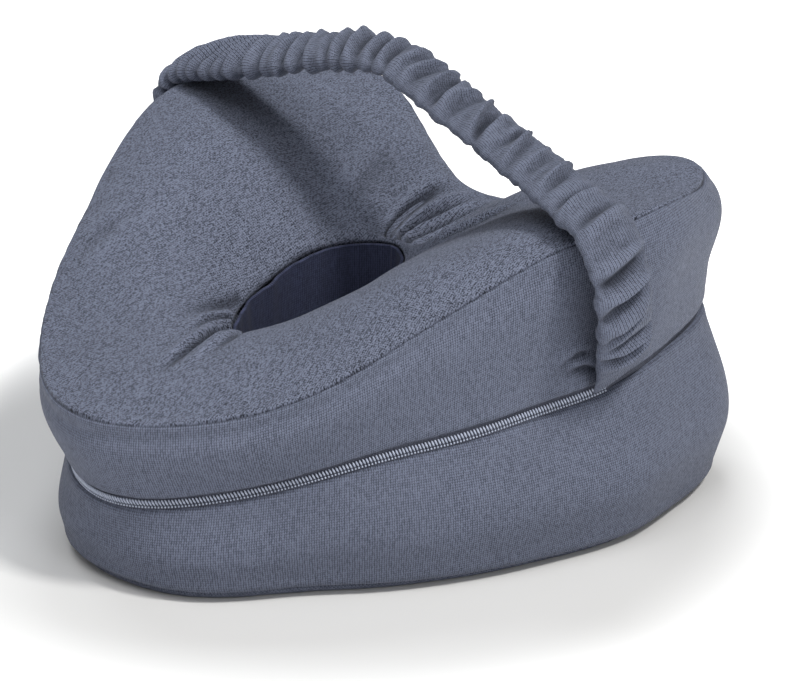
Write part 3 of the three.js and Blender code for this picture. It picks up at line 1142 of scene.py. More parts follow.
class Wardrobe:
    """All finishes, each made once."""

    def __init__(self) -> None:
        """Make the groups and the materials."""
        knit, melange = knit_group(), melange_group()
        cloths = {
            Finish.KNIT: KnitFinish("band knit"),
            Finish.TOP: KnitFinish("top knit", contrast=1.5, uneven=0.8, grain=2.6),
            Finish.LINING: KnitFinish("lining knit", (0.006, 0.008, 0.018), (0.045, 0.053, 0.105)),
            Finish.TAPE: KnitFinish(
                "zip tape weave", (0.02, 0.022, 0.034), (0.11, 0.12, 0.16), 0.0006, 0.0005, 0.0001
            ),
            Finish.STRAP: KnitFinish(
                "strap knit", light=(0.143, 0.161, 0.224), wale=0.00084, course=0.00074, relief=0.00009
            ),
        }
        self.made = {finish: cloth.material(knit, melange) for finish, cloth in cloths.items()}
        self.made[Finish.COIL] = CoilFinish().material()

    def dress(self, piece: bpy.types.Object, finish: Finish, node: str) -> None:
        """Give a piece its finish and its place in the frame.

        Args:
            piece: The piece.
            finish: Its finish.
            node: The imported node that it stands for.
        """
        piece.data.materials.clear()
        piece.data.materials.append(self.made[finish])
        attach(piece, ROOT)
        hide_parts(node)


# Sub-assemblies


@dataclass
class Filling:
    """The foam core, a closed padded form just under the cover."""

    form: CushionForm
    depth: float = 3.6
    turns: int = 120
    voxel: float = 5.0
    pressure: float = 4.0
    frames: int = 20
    cap: float = 1.4
    fill: float = 0.95

    def start_points(self) -> Array:
        """Make the closed section lattice, drawn in under the cover.

        Returns:
            The points, (turns, places, 3).
        """
        turn = np.linspace(-math.pi, math.pi, self.turns, endpoint=False)
        form = self.form
        parts = [
            form.lining_lattice(turn, np.linspace(1.0, 0.0, 16))[:, 1:-1],
            form.top_lattice(turn, np.linspace(0.04, 0.99, 24)),
            form.upper_lattice(turn, np.linspace(0.03, 0.97, 14)),
            form.lower_lattice(turn, np.linspace(0.03, 0.97, 14)),
            form.base_lattice(turn, np.linspace(0.02, 0.98, 18)),
        ]
        points = np.concatenate(parts, axis=1)
        round_way = np.roll(points, -1, axis=0) - np.roll(points, 1, axis=0)
        down_way = np.roll(points, -1, axis=1) - np.roll(points, 1, axis=1)
        return points - unit(np.cross(down_way, round_way)) * self.depth

    def puff(self, piece: bpy.types.Object) -> None:
        """Let the form swell a little under pressure, and keep that shape.

        Args:
            piece: The remeshed form.
        """
        before = np.array([v.co for v in piece.data.vertices])
        cloth = piece.modifiers.new("puff", "CLOTH")
        cloth.settings.use_pressure = True
        cloth.settings.uniform_pressure_force = self.pressure
        cloth.settings.effector_weights.gravity = 0.0
        cloth.point_cache.frame_start = 1
        cloth.point_cache.frame_end = self.frames
        for step in range(1, self.frames + 1):
            bpy.context.scene.frame_set(step)
        shown = piece.evaluated_get(bpy.context.evaluated_depsgraph_get())
        after = np.array([v.co for v in shown.data.vertices])
        piece.modifiers.remove(cloth)
        bpy.context.scene.frame_set(1)
        moved = after - before
        length = np.linalg.norm(moved, axis=1, keepdims=True)
        capped = moved * np.minimum(1.0, self.cap * MM / np.maximum(length, 1e-9))
        piece.data.vertices.foreach_set("co", (before + capped).astype(np.float32).ravel())
        piece.data.update()

    def build(self, wardrobe: Wardrobe) -> list[bpy.types.Object]:
        """Make and dress the padded form.

        Args:
            wardrobe: The finishes.

        Returns:
            The new object.
        """
        points = self.start_points()
        faces = lattice_faces(points.shape[:2], (True, True))[2]
        piece = mesh_object("foam_core", points.reshape(-1, 3) * MM, faces)
        select_only(piece)
        remesh = piece.modifiers.new("even mesh", "REMESH")
        remesh.mode = "VOXEL"
        remesh.voxel_size = self.voxel * MM
        bpy.ops.object.modifier_apply(modifier=remesh.name)
        self.puff(piece)
        finer = piece.modifiers.new("finer", "SUBSURF")
        finer.levels = finer.render_levels = 1
        bpy.ops.object.modifier_apply(modifier=finer.name)
        piece.data.shade_smooth()
        flat = piece.data.uv_layers.new(name="flat")
        places = np.array([piece.data.vertices[loop.vertex_index].co[:2] for loop in piece.data.loops])
        flat.data.foreach_set("uv", places.astype(np.float32).ravel())
        wardrobe.dress(piece, Finish.KNIT, "cushion_body")
        return [piece]


@dataclass
class Cover:
    """The sewn cover: top panel, hole lining, two side bands, zip tape and underside.

    Each edge is how deep it sinks, how far from it the cloth starts to sink, and how high the roll beside it
    stands. Each hollow or fullness of the upper band is its depth or height, how far below the top seam it
    lies, and how wide it is. The flat sizes in build are in metres, measured on the built surfaces and taken
    2 percent smaller, and the woven tape's as it lies.
    """

    form: CushionForm
    turns: int = 480
    thick: float = 1.2
    tape_thick: float = 0.8
    crowding: float = 0.17
    top_edge: tuple[float, float, float] = (1.7, 0.5, 0.35)
    zip_edge: tuple[float, float, float] = (0.7, 0.8, 0.4)
    base_edge: tuple[float, float, float] = (0.9, 0.7, 0.2)
    rim_edge: tuple[float, float] = (0.2, 0.5)
    lining_edge: tuple[float, float] = (0.25, 0.5)
    lining_foot: tuple[float, float] = (0.4, 0.8)
    tape_lift: tuple[float, ...] = (-1.7, -1.7, -1.6, -0.9, -0.7, -0.9, -1.6, -1.7, -1.7)
    tape_shut_lift: float = -1.4
    seam_hollow: tuple[float, float, float] = (1.5, 5.5, 3.6)
    back_fullness: tuple[float, float, float] = (1.0, 15.0, 8.0)
    back_hollow: tuple[float, float, float] = (1.6, 34.0, 9.0)
    # How wide the stitch line and painted shade along a seam are, and how deep a fold is where its painted
    # shade is full
    stitch_and_groove_shade_reach: float = 0.5
    fold_painted_shade_depth: float = 1.9
    rim_fade: float = 4.0
    band_folds_from_x: float = 60.0

    def turn(self) -> Array:
        """Return the lattice's turns, from the notch once round to it, closest at nose and notch."""
        even = np.linspace(-math.pi, math.pi, self.turns, endpoint=False)
        return even - self.crowding * np.sin(2 * even)

    def edges(self, lattice: Array) -> tuple[Array, Array, Array]:
        """Measure a lattice: down from its upper edge, up from its lower edge, and along its upper edge.

        Args:
            lattice: The points.

        Returns:
            The three distances at each point.
        """
        down = run_lengths(lattice)
        along = run_lengths(np.swapaxes(lattice, 0, 1)[:1])[0]
        return down, down[:, -1:] - down, np.broadcast_to(along[:, None], down.shape)

    def stitch_and_painted_groove_shade(self, distance: Array) -> Array:
        """Return how dark the seam's stitch line and the painted shade of its groove are, from 0 to 1."""
        return bell(distance, self.stitch_and_groove_shade_reach)

    def fold_painted_shade(self, folds: Array) -> Array:
        """Return the painted shade in a fold's trough, from 0 to 1, or the painted highlight on its ridge,
        below 0.
        """
        return np.clip(-folds / self.fold_painted_shade_depth, -0.35, 0.8)

    def top_panel(self) -> ClothSheet:
        """Shape the contoured panel over the valley and both wings, with its folds.

        Returns:
            The sheet.
        """
        lattice = self.form.top_lattice(self.turn(), edge_shares(66, 0.028, 9))
        from_rim, from_seam, along = self.edges(lattice)
        lift = seam_drop(from_rim, *self.rim_edge) + seam_drop(from_seam, *self.top_edge)
        lift += TOP_PUCKERS.height(along, from_seam)
        lift += 0.22 * gentle_waves(lattice, 46.0, 5)
        folds = sum(crease.height(lattice[..., :2]) for crease in BACK_FOLDS + NOSE_FOLDS + WING_FOLDS)
        folds = folds * mix(0.3, 1.0, smooth(from_rim / self.rim_fade))
        # Painted shade along the seam and in the folds' troughs, painted highlight on their ridges
        painted_shade = self.stitch_and_painted_groove_shade(from_seam) + self.fold_painted_shade(folds)
        return ClothSheet("top_panel_cloth", lattice, lift + folds, self.thick, True, painted_shade)

    def lining(self) -> ClothSheet:
        """Shape the tube of cloth that lines the vent hole.

        Returns:
            The sheet.
        """
        lattice = self.form.lining_lattice(self.turn(), edge_shares(32, 0.03, 5))
        from_rim, from_base, along = self.edges(lattice)
        lift = seam_drop(from_rim, *self.lining_edge) + seam_drop(from_base, *self.lining_foot)
        lift += LINING_PUCKERS.height(along, from_rim)
        return ClothSheet("vent_lining_cloth", lattice, lift, self.thick)

    def upper_band(self) -> ClothSheet:
        """Shape the side strip above the zip, hollow under its seam in front and full behind.

        Returns:
            The sheet.
        """
        lattice = self.form.upper_lattice(self.turn(), edge_shares(40, 0.03, 9))
        from_seam, from_zip, along = self.edges(lattice)
        lift = seam_drop(from_seam, *self.top_edge)
        lift += seam_drop(from_zip, *self.zip_edge)
        lift += BAND_PUCKERS.height(along, from_seam) + ZIP_PUCKERS.height(along, from_zip)
        lift += 0.2 * gentle_waves(lattice, 40.0, 13)
        turn = self.turn()[:, None]
        front, back = smooth(1.4 * np.cos(turn / 2) ** 2 - 0.2), np.sin(turn / 2) ** 4
        shapes = (
            (front, -1.0, self.seam_hollow),
            (back, 1.0, self.back_fullness),
            (back, -1.0, self.back_hollow),
        )
        for where, way, (depth, place, width) in shapes:
            lift += way * depth * where * bell(from_seam - place, width)
        folds = sum(crease.height(lattice[..., 1:]) for crease in BAND_FOLDS)
        folds = folds * (lattice[..., 0] > self.band_folds_from_x)
        # Painted shade along the seam and in the folds' troughs, painted highlight on their ridges
        painted_shade = self.stitch_and_painted_groove_shade(from_seam) + self.fold_painted_shade(folds)
        return ClothSheet("upper_band_cloth", lattice, lift + folds, self.thick, False, painted_shade)

    def tape(self) -> ClothSheet:
        """Shape the zip tape, a little sunk between the two bands, and more where no coil shows.

        Returns:
            The sheet.
        """
        turn, form = self.turn(), self.form
        opened = (form.slot(turn) - form.slot_shut) / (form.slot_half - form.slot_shut)
        across = np.array(self.tape_lift)
        lift = mix(np.minimum(across, self.tape_shut_lift), across, opened[:, None])
        return ClothSheet("zip_tape_cloth", form.tape_lattice(turn), lift, self.tape_thick)

    def lower_band(self) -> ClothSheet:
        """Shape the side strip below the zip.

        Returns:
            The sheet.
        """
        lattice = self.form.lower_lattice(self.turn(), edge_shares(44, 0.03, 9))
        from_zip, from_seam, along = self.edges(lattice)
        lift = seam_drop(from_zip, *self.zip_edge) + seam_drop(from_seam, *self.base_edge)
        lift += BASE_PUCKERS.height(along, from_seam)
        lift += 0.2 * gentle_waves(lattice, 48.0, 19)
        return ClothSheet("lower_band_cloth", lattice, lift, self.thick, False, self.stitch_and_painted_groove_shade(from_seam))

    def base_panel(self) -> ClothSheet:
        """Shape the underside with its rolled edge.

        Returns:
            The sheet.
        """
        shares = np.concatenate([np.linspace(0.0, 0.12, 16), np.linspace(0.12, 1.0, 18)[1:]])
        lattice = self.form.base_lattice(self.turn(), shares)
        from_seam, _, along = self.edges(lattice)
        lift = seam_drop(from_seam, *self.base_edge)
        lift += BASE_PUCKERS.height(along, from_seam)
        return ClothSheet("base_panel_cloth", lattice, lift, self.thick, True, self.stitch_and_painted_groove_shade(from_seam))

    def build(self, wardrobe: Wardrobe) -> list[bpy.types.Object]:
        """Make and dress all panels.

        Args:
            wardrobe: The finishes.

        Returns:
            The new objects.
        """
        plan = (
            (self.top_panel(), Finish.TOP, "top_panel", (0.252, 0.242, 0.0424), None),
            (self.lining(), Finish.LINING, "vent_lining", (0.197, 0.085, 0.0145), None),
            (self.upper_band(), Finish.KNIT, "upper_band", (0.786, 0.062, 0.0352), None),
            (self.tape(), Finish.TAPE, "zip_tape", (0.739, 0.0119, None), None),
            (self.lower_band(), Finish.KNIT, "lower_band", (0.765, 0.075, 0.0440), None),
            (self.base_panel(), Finish.KNIT, "base_panel", (0.219, 0.218, 0.0357), 0.0),
        )
        pieces = []
        for sheet, finish, node, (width, length, area), lowest in plan:
            piece = sheet.build(lowest)
            wardrobe.dress(piece, finish, node)
            pieces.append(piece)
        return pieces


@dataclass
class Zip:
    """The closed coil: a row of slanted teeth, each deeper than it is wide, over a row of small stitches."""

    form: CushionForm
    start_deg: float = -30.0
    end_deg: float = 99.0
    pitch: float = 1.2
    lean_deg: float = 24.0
    tooth_half: float = 1.3
    tooth_radius: float = 0.36
    tooth_up: float = 0.55
    dot_half: float = 0.4
    dot_radius: float = 0.34
    dot_up: float = -1.25
    stand: float = 0.35
    deeper: float = 1.25

    def seed_mesh(self) -> tuple[Array, Array]:
        """Model one rounded tooth of unit size, and read its points and faces.

        Returns:
            The points, and the faces as triangles.
        """
        bpy.ops.object.select_all(action="DESELECT")
        bpy.ops.mesh.primitive_uv_sphere_add(segments=8, ring_count=6, radius=1.0)
        ball = bpy.context.active_object
        bpy.ops.object.mode_set(mode="EDIT")
        bpy.ops.mesh.select_all(action="SELECT")
        bpy.ops.mesh.quads_convert_to_tris()
        bpy.ops.object.mode_set(mode="OBJECT")
        points = np.array([v.co for v in ball.data.vertices])
        faces = np.array([tuple(face.vertices) for face in ball.data.polygons])
        bpy.data.objects.remove(ball, do_unlink=True)
        return points, faces

    def frames(self) -> tuple[Array, Array, Array, Array]:
        """Work out where teeth stand.

        Returns:
            The middles, and the ways along the zip, up and out at each.
        """
        turn = np.radians(np.linspace(self.start_deg, self.end_deg, 2000))
        line = self.form.waist(turn)
        run = run_lengths(line[None])[0]
        at = np.interp(np.arange(0.0, run[-1], self.pitch), run, turn)
        small = 1e-3
        along = unit(self.form.waist(at + small) - self.form.waist(at - small))
        middle = self.form.waist(at)
        up = self.form.towards(middle, self.form.shoulder(at), 1.0) - middle
        low = self.form.towards(middle, self.form.swell(at), 1.0) - middle
        up = unit(up - low)
        return middle, along, up, unit(np.cross(along, up))

    def build(self, wardrobe: Wardrobe) -> list[bpy.types.Object]:
        """Make and dress the coil.

        Args:
            wardrobe: The finishes.

        Returns:
            The new object.
        """
        seed, seed_faces = self.seed_mesh()
        middle, along, up, out = self.frames()
        lean = math.radians(self.lean_deg)
        rows = (
            (self.tooth_up, 0.0, self.tooth_half, self.tooth_radius, lean),
            (self.dot_up, 0.5, self.dot_half, self.dot_radius, lean / 2),
        )
        points, faces, count = [], [], 0
        for height, shift, half, radius, tilt in rows:
            long_way = up * math.cos(tilt) - along * math.sin(tilt)
            side_way = unit(np.cross(long_way, out))
            centre = middle + up * height + along * shift * self.pitch + out * self.stand
            tooth = (
                centre[:, None, :]
                + seed[None, :, 0, None] * side_way[:, None, :] * radius
                + seed[None, :, 1, None] * out[:, None, :] * radius * self.deeper
                + seed[None, :, 2, None] * long_way[:, None, :] * half
            )
            points.append(tooth.reshape(-1, 3))
            for index in range(len(centre)):
                faces.append(seed_faces + count + index * len(seed))
            count += len(centre) * len(seed)
        piece = mesh_object("zip_coil_teeth", np.concatenate(points) * MM, np.concatenate(faces))
        wardrobe.dress(piece, Finish.COIL, "zip_coil")
        return [piece]


@dataclass(frozen=True)
class StrapStop:
    """A place on the strap's middle line, how far its width leans out of level there, and half its width."""

    x: float
    y: float
    z: float
    lie: float = 0.0
    half_width: float = 12.3


STRAP_STOPS = (
    StrapStop(-112.7, 41.8, 66.5),
    StrapStop(-118.2, 42.8, 80.0),
    StrapStop(-123.2, 44.8, 96.0, 0, 12.4),
    StrapStop(-125.9, 48.7, 111.0, 1, 12.6),
    StrapStop(-124.3, 51.8, 124.3, 4, 12.9),
    StrapStop(-113.5, 52.0, 133.2, 8, 13.4),
    StrapStop(-94.0, 49.0, 139.3, 15, 13.9),
    StrapStop(-74.0, 45.1, 145.0, 16, 13.5),
    StrapStop(-55.0, 42.5, 149.9, 16, 13.1),
    StrapStop(-36.0, 40.7, 154.8, 12, 12.7),
    StrapStop(-15.0, 38.8, 159.4, 9, 12.6),
    StrapStop(4.0, 36.5, 160.0, 6, 12.4),
    StrapStop(21.0, 34.1, 155.1, 6, 12.0),
    StrapStop(37.0, 32.1, 149.5, 8, 11.9),
    StrapStop(53.0, 30.5, 144.1, 7, 11.5),
    StrapStop(69.0, 27.9, 139.1, 7, 11.8),
    StrapStop(85.0, 24.2, 135.0, 7, 12.1),
    StrapStop(101.0, 19.6, 130.8, 5, 12.4),
    StrapStop(114.6, 16.0, 127.3, 6, 13.2),
    StrapStop(123.2, 13.9, 117.7, 6, 13.5),
    StrapStop(126.0, 14.8, 106.0, 4, 13.5),
    StrapStop(124.2, 18.3, 94.8, 0, 13.3),
    StrapStop(120.3, 23.7, 83.7, -2, 13.4),
    StrapStop(116.2, 29.7, 74.5, 0, 13.6),
    StrapStop(112.4, 33.3, 67.0, 0, 14.0),
)


# From where along the strap the gathers fade on its nose side, over how long a stretch that sets in, and what
# share of their height is left on its notch side
HEEL_FROM, HEEL_EASE, TIP_SHARE = 180.0, 20.0, 0.36


@dataclass(frozen=True)
class Pleat:
    """One gather across the strap: a crest with a valley beside it, by where it crosses the strap's width."""

    nose_side: float
    middle: float
    notch_side: float
    rise: float = 1.5
    drop: float = 1.2
    spread: float = 2.6
    valley: float = 3.0
    tip: float = 1.0
    heel: float = 0.3

    def height(self, run: Array, across: Array) -> Array:
        """Work out the gather's height.

        Args:
            run: How far along the strap each point is, in millimetres.
            across: Where across the strap it is, from -1 (nose side) to 1 (notch side).

        Returns:
            The height at each point.
        """
        bow = (self.nose_side + self.notch_side) / 2 - self.middle
        line = self.middle + (self.notch_side - self.nose_side) / 2 * across + bow * across**2
        away = run - line
        narrow = self.spread * mix(1.15, 0.55, smooth((across + 1) / 2))
        steep = np.where(away * self.valley > 0, 0.6, 1.35)
        crest = np.exp(-np.abs(away / (narrow * steep)) ** 1.7)
        trough = np.exp(-np.abs((away - self.valley) / (0.55 * abs(self.valley))) ** 1.4)
        heel = mix(1.0, self.heel, smooth((run - HEEL_FROM) / HEEL_EASE))
        tip = mix(1.0, TIP_SHARE * self.tip, smooth(across * 2 - 0.9))
        grow = mix(heel, 1.0, smooth((across + 1.0) * 1.6)) * tip
        return self.rise * grow * crest - self.drop * (1.0 - 0.75 * across**2) * trough


PLEATS = (
    Pleat(4.0, 5.0, 6.0, 0.5, 0.3),
    Pleat(12.0, 12.0, 13.0, 0.8, 0.6),
    Pleat(20.5, 22.0, 23.0, 1.1, 0.9, 2.4, -3.0),
    Pleat(29.0, 29.0, 31.0, 1.3, 1.0),
    Pleat(38.0, 37.0, 36.0, 1.4, 1.2, 2.4, -3.0),
    Pleat(46.5, 45.0, 45.0, 1.3, 1.1),
    Pleat(55.0, 54.0, 53.0, 1.5, 1.2, 2.4, 3.0),
    Pleat(62.0, 64.0, 68.0, 1.9, 1.8, 2.6, 3.4),
    Pleat(71.0, 75.0, 82.0, 1.7, 1.4, 2.8, 3.2),
    Pleat(79.0, 84.5, 92.0, 1.9, 1.3, 3.0, 3.0),
    Pleat(85.5, 92.0, 100.0, 2.1, 2.0, 2.6, 3.4),
    Pleat(94.0, 100.0, 108.0, 1.7, 1.2, 2.8, 3.0),
    Pleat(103.0, 107.0, 113.0, 1.5, 1.0, 2.4, 2.8),
    Pleat(112.0, 114.0, 117.0, 2.1, 2.2, 2.4, 3.6),
    Pleat(124.0, 122.0, 120.0, 2.3, 2.3, 2.4, -3.4),
    Pleat(134.0, 129.0, 123.0, 1.7, 1.6, 2.2, -3.0),
    Pleat(141.0, 136.0, 130.0, 1.8, 1.8, 2.2, 2.8),
    Pleat(150.0, 144.0, 138.0, 1.6, 1.5, 2.4, 2.8),
    Pleat(160.0, 153.0, 146.0, 1.9, 1.9, 2.8, -3.0),
    Pleat(168.0, 160.0, 153.0, 1.3, 0.8, 3.4, 3.2),
    Pleat(176.0, 168.5, 162.0, 2.2, 2.4, 3.0, 3.6),
    Pleat(184.0, 176.5, 171.0, 2.6, 1.4, 3.2, 3.2),
    Pleat(192.5, 186.0, 181.0, 1.6, 1.9, 2.6, 3.2, 1.2),
    Pleat(200.0, 193.0, 189.5, 1.4, 1.7, 2.4, 3.0, 1.3),
    Pleat(206.5, 203.5, 202.0, 1.5, 0.6, 2.6, 3.2, 1.1),
    Pleat(212.5, 209.3, 210.5, 1.4, 1.1, 2.2, 3.4, 1.4),
    Pleat(223.5, 219.5, 217.6, 1.5, 1.0, 1.8, 2.8, 1.9),
    Pleat(231.5, 227.8, 223.5, 1.6, 1.9, 2.4, -3.0, 1.1),
    Pleat(233.5, 230.5, 231.0, 1.1, 1.2, 2.2, 4.4, 1.2),
    Pleat(250.0, 243.2, 237.3, 1.6, 0.5, 1.8, 3.2, 2.3),
    Pleat(255.5, 250.8, 247.0, 1.4, 1.7, 3.0, -3.4, 0.9),
    Pleat(263.5, 259.0, 254.5, 0.7, 0.3, 2.2, 3.0, 1.1),
    Pleat(270.0, 264.8, 257.8, 1.5, 0.5, 1.8, 3.0, 2.4),
    Pleat(265.5, 262.5, 260.0, 0.4, 1.1, 2.0, -2.8, 0.8),
    Pleat(278.5, 274.5, 269.0, 1.0, 0.8, 2.8, 3.4, 1.2),
    Pleat(292.0, 286.0, 280.3, 1.4, 1.1, 2.0, 3.4, 1.7),
    Pleat(307.0, 302.8, 299.5, 1.6, 1.4, 2.6, -3.6, 1.2),
    Pleat(320.0, 315.0, 311.0, 1.4, 1.2, 2.4, -3.2, 1.5),
    Pleat(331.5, 329.6, 325.0, 1.6, 2.3, 2.2, 3.4, 1.2),
    Pleat(340.6, 339.2, 337.0, 1.9, 2.5, 2.0, 4.2, 1.1),
    Pleat(352.0, 350.6, 349.0, 1.2, 0.5, 2.8, 3.0, 0.8),
    Pleat(357.5, 355.5, 351.0, 0.7, 0.8, 1.6, -2.4, 0.6),
    Pleat(361.0, 363.6, 367.5, 1.5, 1.1, 2.4, -2.6, 0.9),
    Pleat(366.2, 370.6, 374.5, 1.5, 2.3, 2.0, -3.0, 1.0),
    Pleat(376.0, 379.0, 381.0, 0.5, 0.4, 2.4, -2.6, 0.6),
)


@dataclass
class LegStrap:
    """The ruched elastic tube over the leg valley, both ends sewn at the zip.

    Each crumple is a height, a length and a seed.
    """

    half_thick: float = 3.7
    end_half_thick: float = 1.3
    end_share: float = 0.05
    rings: int = 1000
    sides: int = 72
    scallop: float = 1.5
    scallop_width: float = 0.06
    outer_relief: float = 1.9
    inner_relief: float = 0.8
    flatter: float = 0.8
    stitch_rise: float = 0.1
    crumple: tuple[float, float, int] = (0.22, 9.0, 31)
    fine_crumple: tuple[float, float, int] = (0.1, 3.4, 32)
    girth_radius: float = 9.0
    ruching: float = 1.5
    # How many rings either way the painted shade averages the height over, and how deep a valley is where its
    # painted shade is full
    painted_shade_rings: int = 11
    gather_painted_shade_depth: float = 2.6
    deepest: float = 4.2

    def centre_line(self) -> tuple[Array, Array, Array]:
        """Make the strap's middle line at even steps.

        Returns:
            The points, how far the width leans at each, in radians, and half the width there.
        """
        stops = np.array([(stop.x, stop.y, stop.z) for stop in STRAP_STOPS])
        lies = np.radians([stop.lie for stop in STRAP_STOPS])
        wides = [stop.half_width for stop in STRAP_STOPS]
        run = run_lengths(stops[None])[0]
        ends = np.concatenate([[2 * stops[0] - stops[1]], stops, [2 * stops[-1] - stops[-2]]])
        share = np.linspace(0.0, 1.0, 24, endpoint=False)[:, None]
        fine = []
        for p0, p1, p2, p3 in zip(ends, ends[1:], ends[2:], ends[3:]):
            bend = (p2 - p0) * share + (2 * p0 - 5 * p1 + 4 * p2 - p3) * share**2
            fine.append(0.5 * (2 * p1 + bend + (3 * p1 - p0 - 3 * p2 + p3) * share**3))
        line = np.concatenate(fine + [stops[-1:]])
        even = respaced(line[None], np.linspace(0.0, 1.0, self.rings))[0]
        place = run_lengths(even[None])[0]
        place *= run[-1] / place[-1]
        return even, np.interp(place, run, lies), np.interp(place, run, wides)

    def ways(self, line: Array, lies: Array) -> tuple[Array, Array]:
        """Work out the strap's directions along its middle line.

        Args:
            line: The middle line.
            lies: How far the width leans.

        Returns:
            The ways across the strap and out of its face.
        """
        forward = unit(np.gradient(line, axis=0))
        level = np.array([0.0, 1.0, 0.0])
        across = unit(level - forward * (forward @ level)[:, None])
        out = unit(np.cross(across, forward))
        turned = across * np.cos(lies)[:, None] - out * np.sin(lies)[:, None]
        return turned, unit(np.cross(turned, forward))

    def gathers(self, run: Array, angle: Array) -> Array:
        """Work out the gathers' height over the tube.

        Args:
            run: How far along the strap each point is.
            angle: Where round the tube it is.

        Returns:
            The height at each point.
        """
        across = np.cos(angle)
        total = np.zeros(np.broadcast_shapes(run.shape, angle.shape))
        for pleat in PLEATS:
            total += pleat.height(run, across)
        relief = np.where(np.sin(angle) < 0, self.outer_relief, self.inner_relief)
        total *= mix(1.0, relief, np.abs(np.sin(angle)))
        total = np.where(total < 0, -self.deepest * np.tanh(-total / self.deepest), total)
        around = self.girth_radius * np.cos(angle), self.girth_radius * np.sin(angle)
        place = np.stack(np.broadcast_arrays(run, *around), axis=-1)
        total += sum(rise * gentle_waves(place, *wave) for rise, *wave in (self.crumple, self.fine_crumple))
        edge = bell(np.abs(across) - 1.0, self.scallop_width)
        beat = np.sin(run * (2 * math.pi / self.scallop) + 1.4 * np.sin(run / 7.0))
        return total + self.stitch_rise * edge * beat

    def tube(self) -> tuple[Array, Array]:
        """Make the strap's surface.

        Returns:
            The points, (rings, sides, 3), and the painted shade on each.
        """
        line, lies, wide = self.centre_line()
        across, out = self.ways(line, lies)
        run = run_lengths(line[None])[0]
        share = run / run[-1]
        full = smooth(np.minimum(share, 1.0 - share) / self.end_share)
        angle = np.linspace(0.0, 2 * math.pi, self.sides, endpoint=False)
        thick = mix(self.end_half_thick, self.half_thick, full)
        cos, sin = np.cos(angle), np.sin(angle)
        flat_sin = np.sign(sin) * np.abs(sin) ** self.flatter
        sideways = across[:, None, :] * (wide[:, None] * cos[None, :])[..., None]
        outwards = out[:, None, :] * (thick[:, None] * flat_sin[None, :])[..., None]
        points = line[:, None, :] + sideways + outwards
        round_way = np.roll(points, -1, axis=1) - np.roll(points, 1, axis=1)
        normal = unit(np.cross(np.gradient(points, axis=0), round_way))
        middle = len(line) // 2
        normal *= np.sign(normal[middle, 0] @ across[middle])
        height = self.gathers(run[:, None], angle[None, :]) * (0.2 + 0.8 * full[:, None])
        return points + normal * height[..., None], self.painted_shade(height)

    def painted_shade(self, height: Array) -> Array:
        """Work out the painted shade in the gathers' valleys, and the painted highlight on their crests.

        Args:
            height: The gathers' height over the tube.

        Returns:
            From 1 in a deep valley to less than 0 on a crest.
        """
        half, count = self.painted_shade_rings, 2 * self.painted_shade_rings + 1
        ends = height[:1].repeat(half, axis=0), height[-1:].repeat(half + 1, axis=0)
        total = np.cumsum(np.concatenate([ends[0], height, ends[1]]), axis=0)
        mean = (total[count:] - total[:-count]) / count
        return np.clip((mean - height) / self.gather_painted_shade_depth, -0.3, 0.8)

    def build(self, wardrobe: Wardrobe) -> list[bpy.types.Object]:
        """Make and dress the strap.

        Args:
            wardrobe: The finishes.

        Returns:
            The new object.
        """
        points, painted_shade = self.tube()
        i, j, faces = lattice_faces(points.shape[:2], (False, True))
        cloth_run = run_lengths(points.mean(axis=1)[None])[0] * self.ruching
        girth = 4 * STRAP_STOPS[0].half_width / self.sides
        near, far, start, end = j * girth, (j + 1) * girth, cloth_run[i], cloth_run[i + 1]
        corners = [(near, start), (near, end), (far, end), (far, start)]
        flat = np.stack([np.stack(corner, axis=1) for corner in corners], axis=1) * MM
        outward = faces[:, [0, 3, 2, 1]]
        piece = mesh_object("leg_strap_cloth", points.reshape(-1, 3) * MM, outward, flat.reshape(-1, 2))
        mark_painted_shade(piece, painted_shade)
        self.close_ends(piece)
        wardrobe.dress(piece, Finish.STRAP, "leg_strap")
        return [piece]

    @staticmethod
    def close_ends(piece: bpy.types.Object) -> None:
        """Close the tube's two open ends and turn all faces outwards.

        Args:
            piece: The tube.
        """
        select_only(piece)
        bpy.ops.object.mode_set(mode="EDIT")
        bpy.ops.mesh.select_all(action="DESELECT")
        bpy.ops.mesh.select_non_manifold(extend=False)
        bpy.ops.mesh.fill_holes(sides=0)
        bpy.ops.mesh.select_all(action="SELECT")
        bpy.ops.mesh.normals_make_consistent(inside=False)
        bpy.ops.object.mode_set(mode="OBJECT")


# Studio


@dataclass(frozen=True)
class AreaLight:
    """A square soft light that looks at the pillow, placed by its bearing as a camera would be."""

    name: str
    azimuth_deg: float
    elevation_deg: float
    size: float
    power: float
    tint: Point = (1.0, 1.0, 1.0)
    distance: float = 3.0

    def build(self) -> None:
        """Make the light."""
        place = tuple(self.distance * way for way in bearing(self.azimuth_deg, self.elevation_deg))
        data = bpy.data.lights.new(self.name, "AREA")
        data.shape = "SQUARE"
        data.size = self.size
        data.energy = self.power
        data.color = self.tint
        light = bpy.data.objects.new(self.name, data)
        light.location = place
        light.rotation_euler = look_angles(place, (0.0, 0.0, 0.06))
        bpy.context.scene.collection.objects.link(light)


def bearing(azimuth_deg: float, elevation_deg: float) -> Point:
    """Work out the way from the pillow to something that looks at it.

    Args:
        azimuth_deg: How far round it stands, from the nose towards the right wing.
        elevation_deg: How high it stands.

    Returns:
        A unit vector.
    """
    azimuth, elevation = math.radians(azimuth_deg), math.radians(elevation_deg)
    flat = math.cos(elevation)
    return (math.sin(azimuth) * flat, -math.cos(azimuth) * flat, math.sin(elevation))


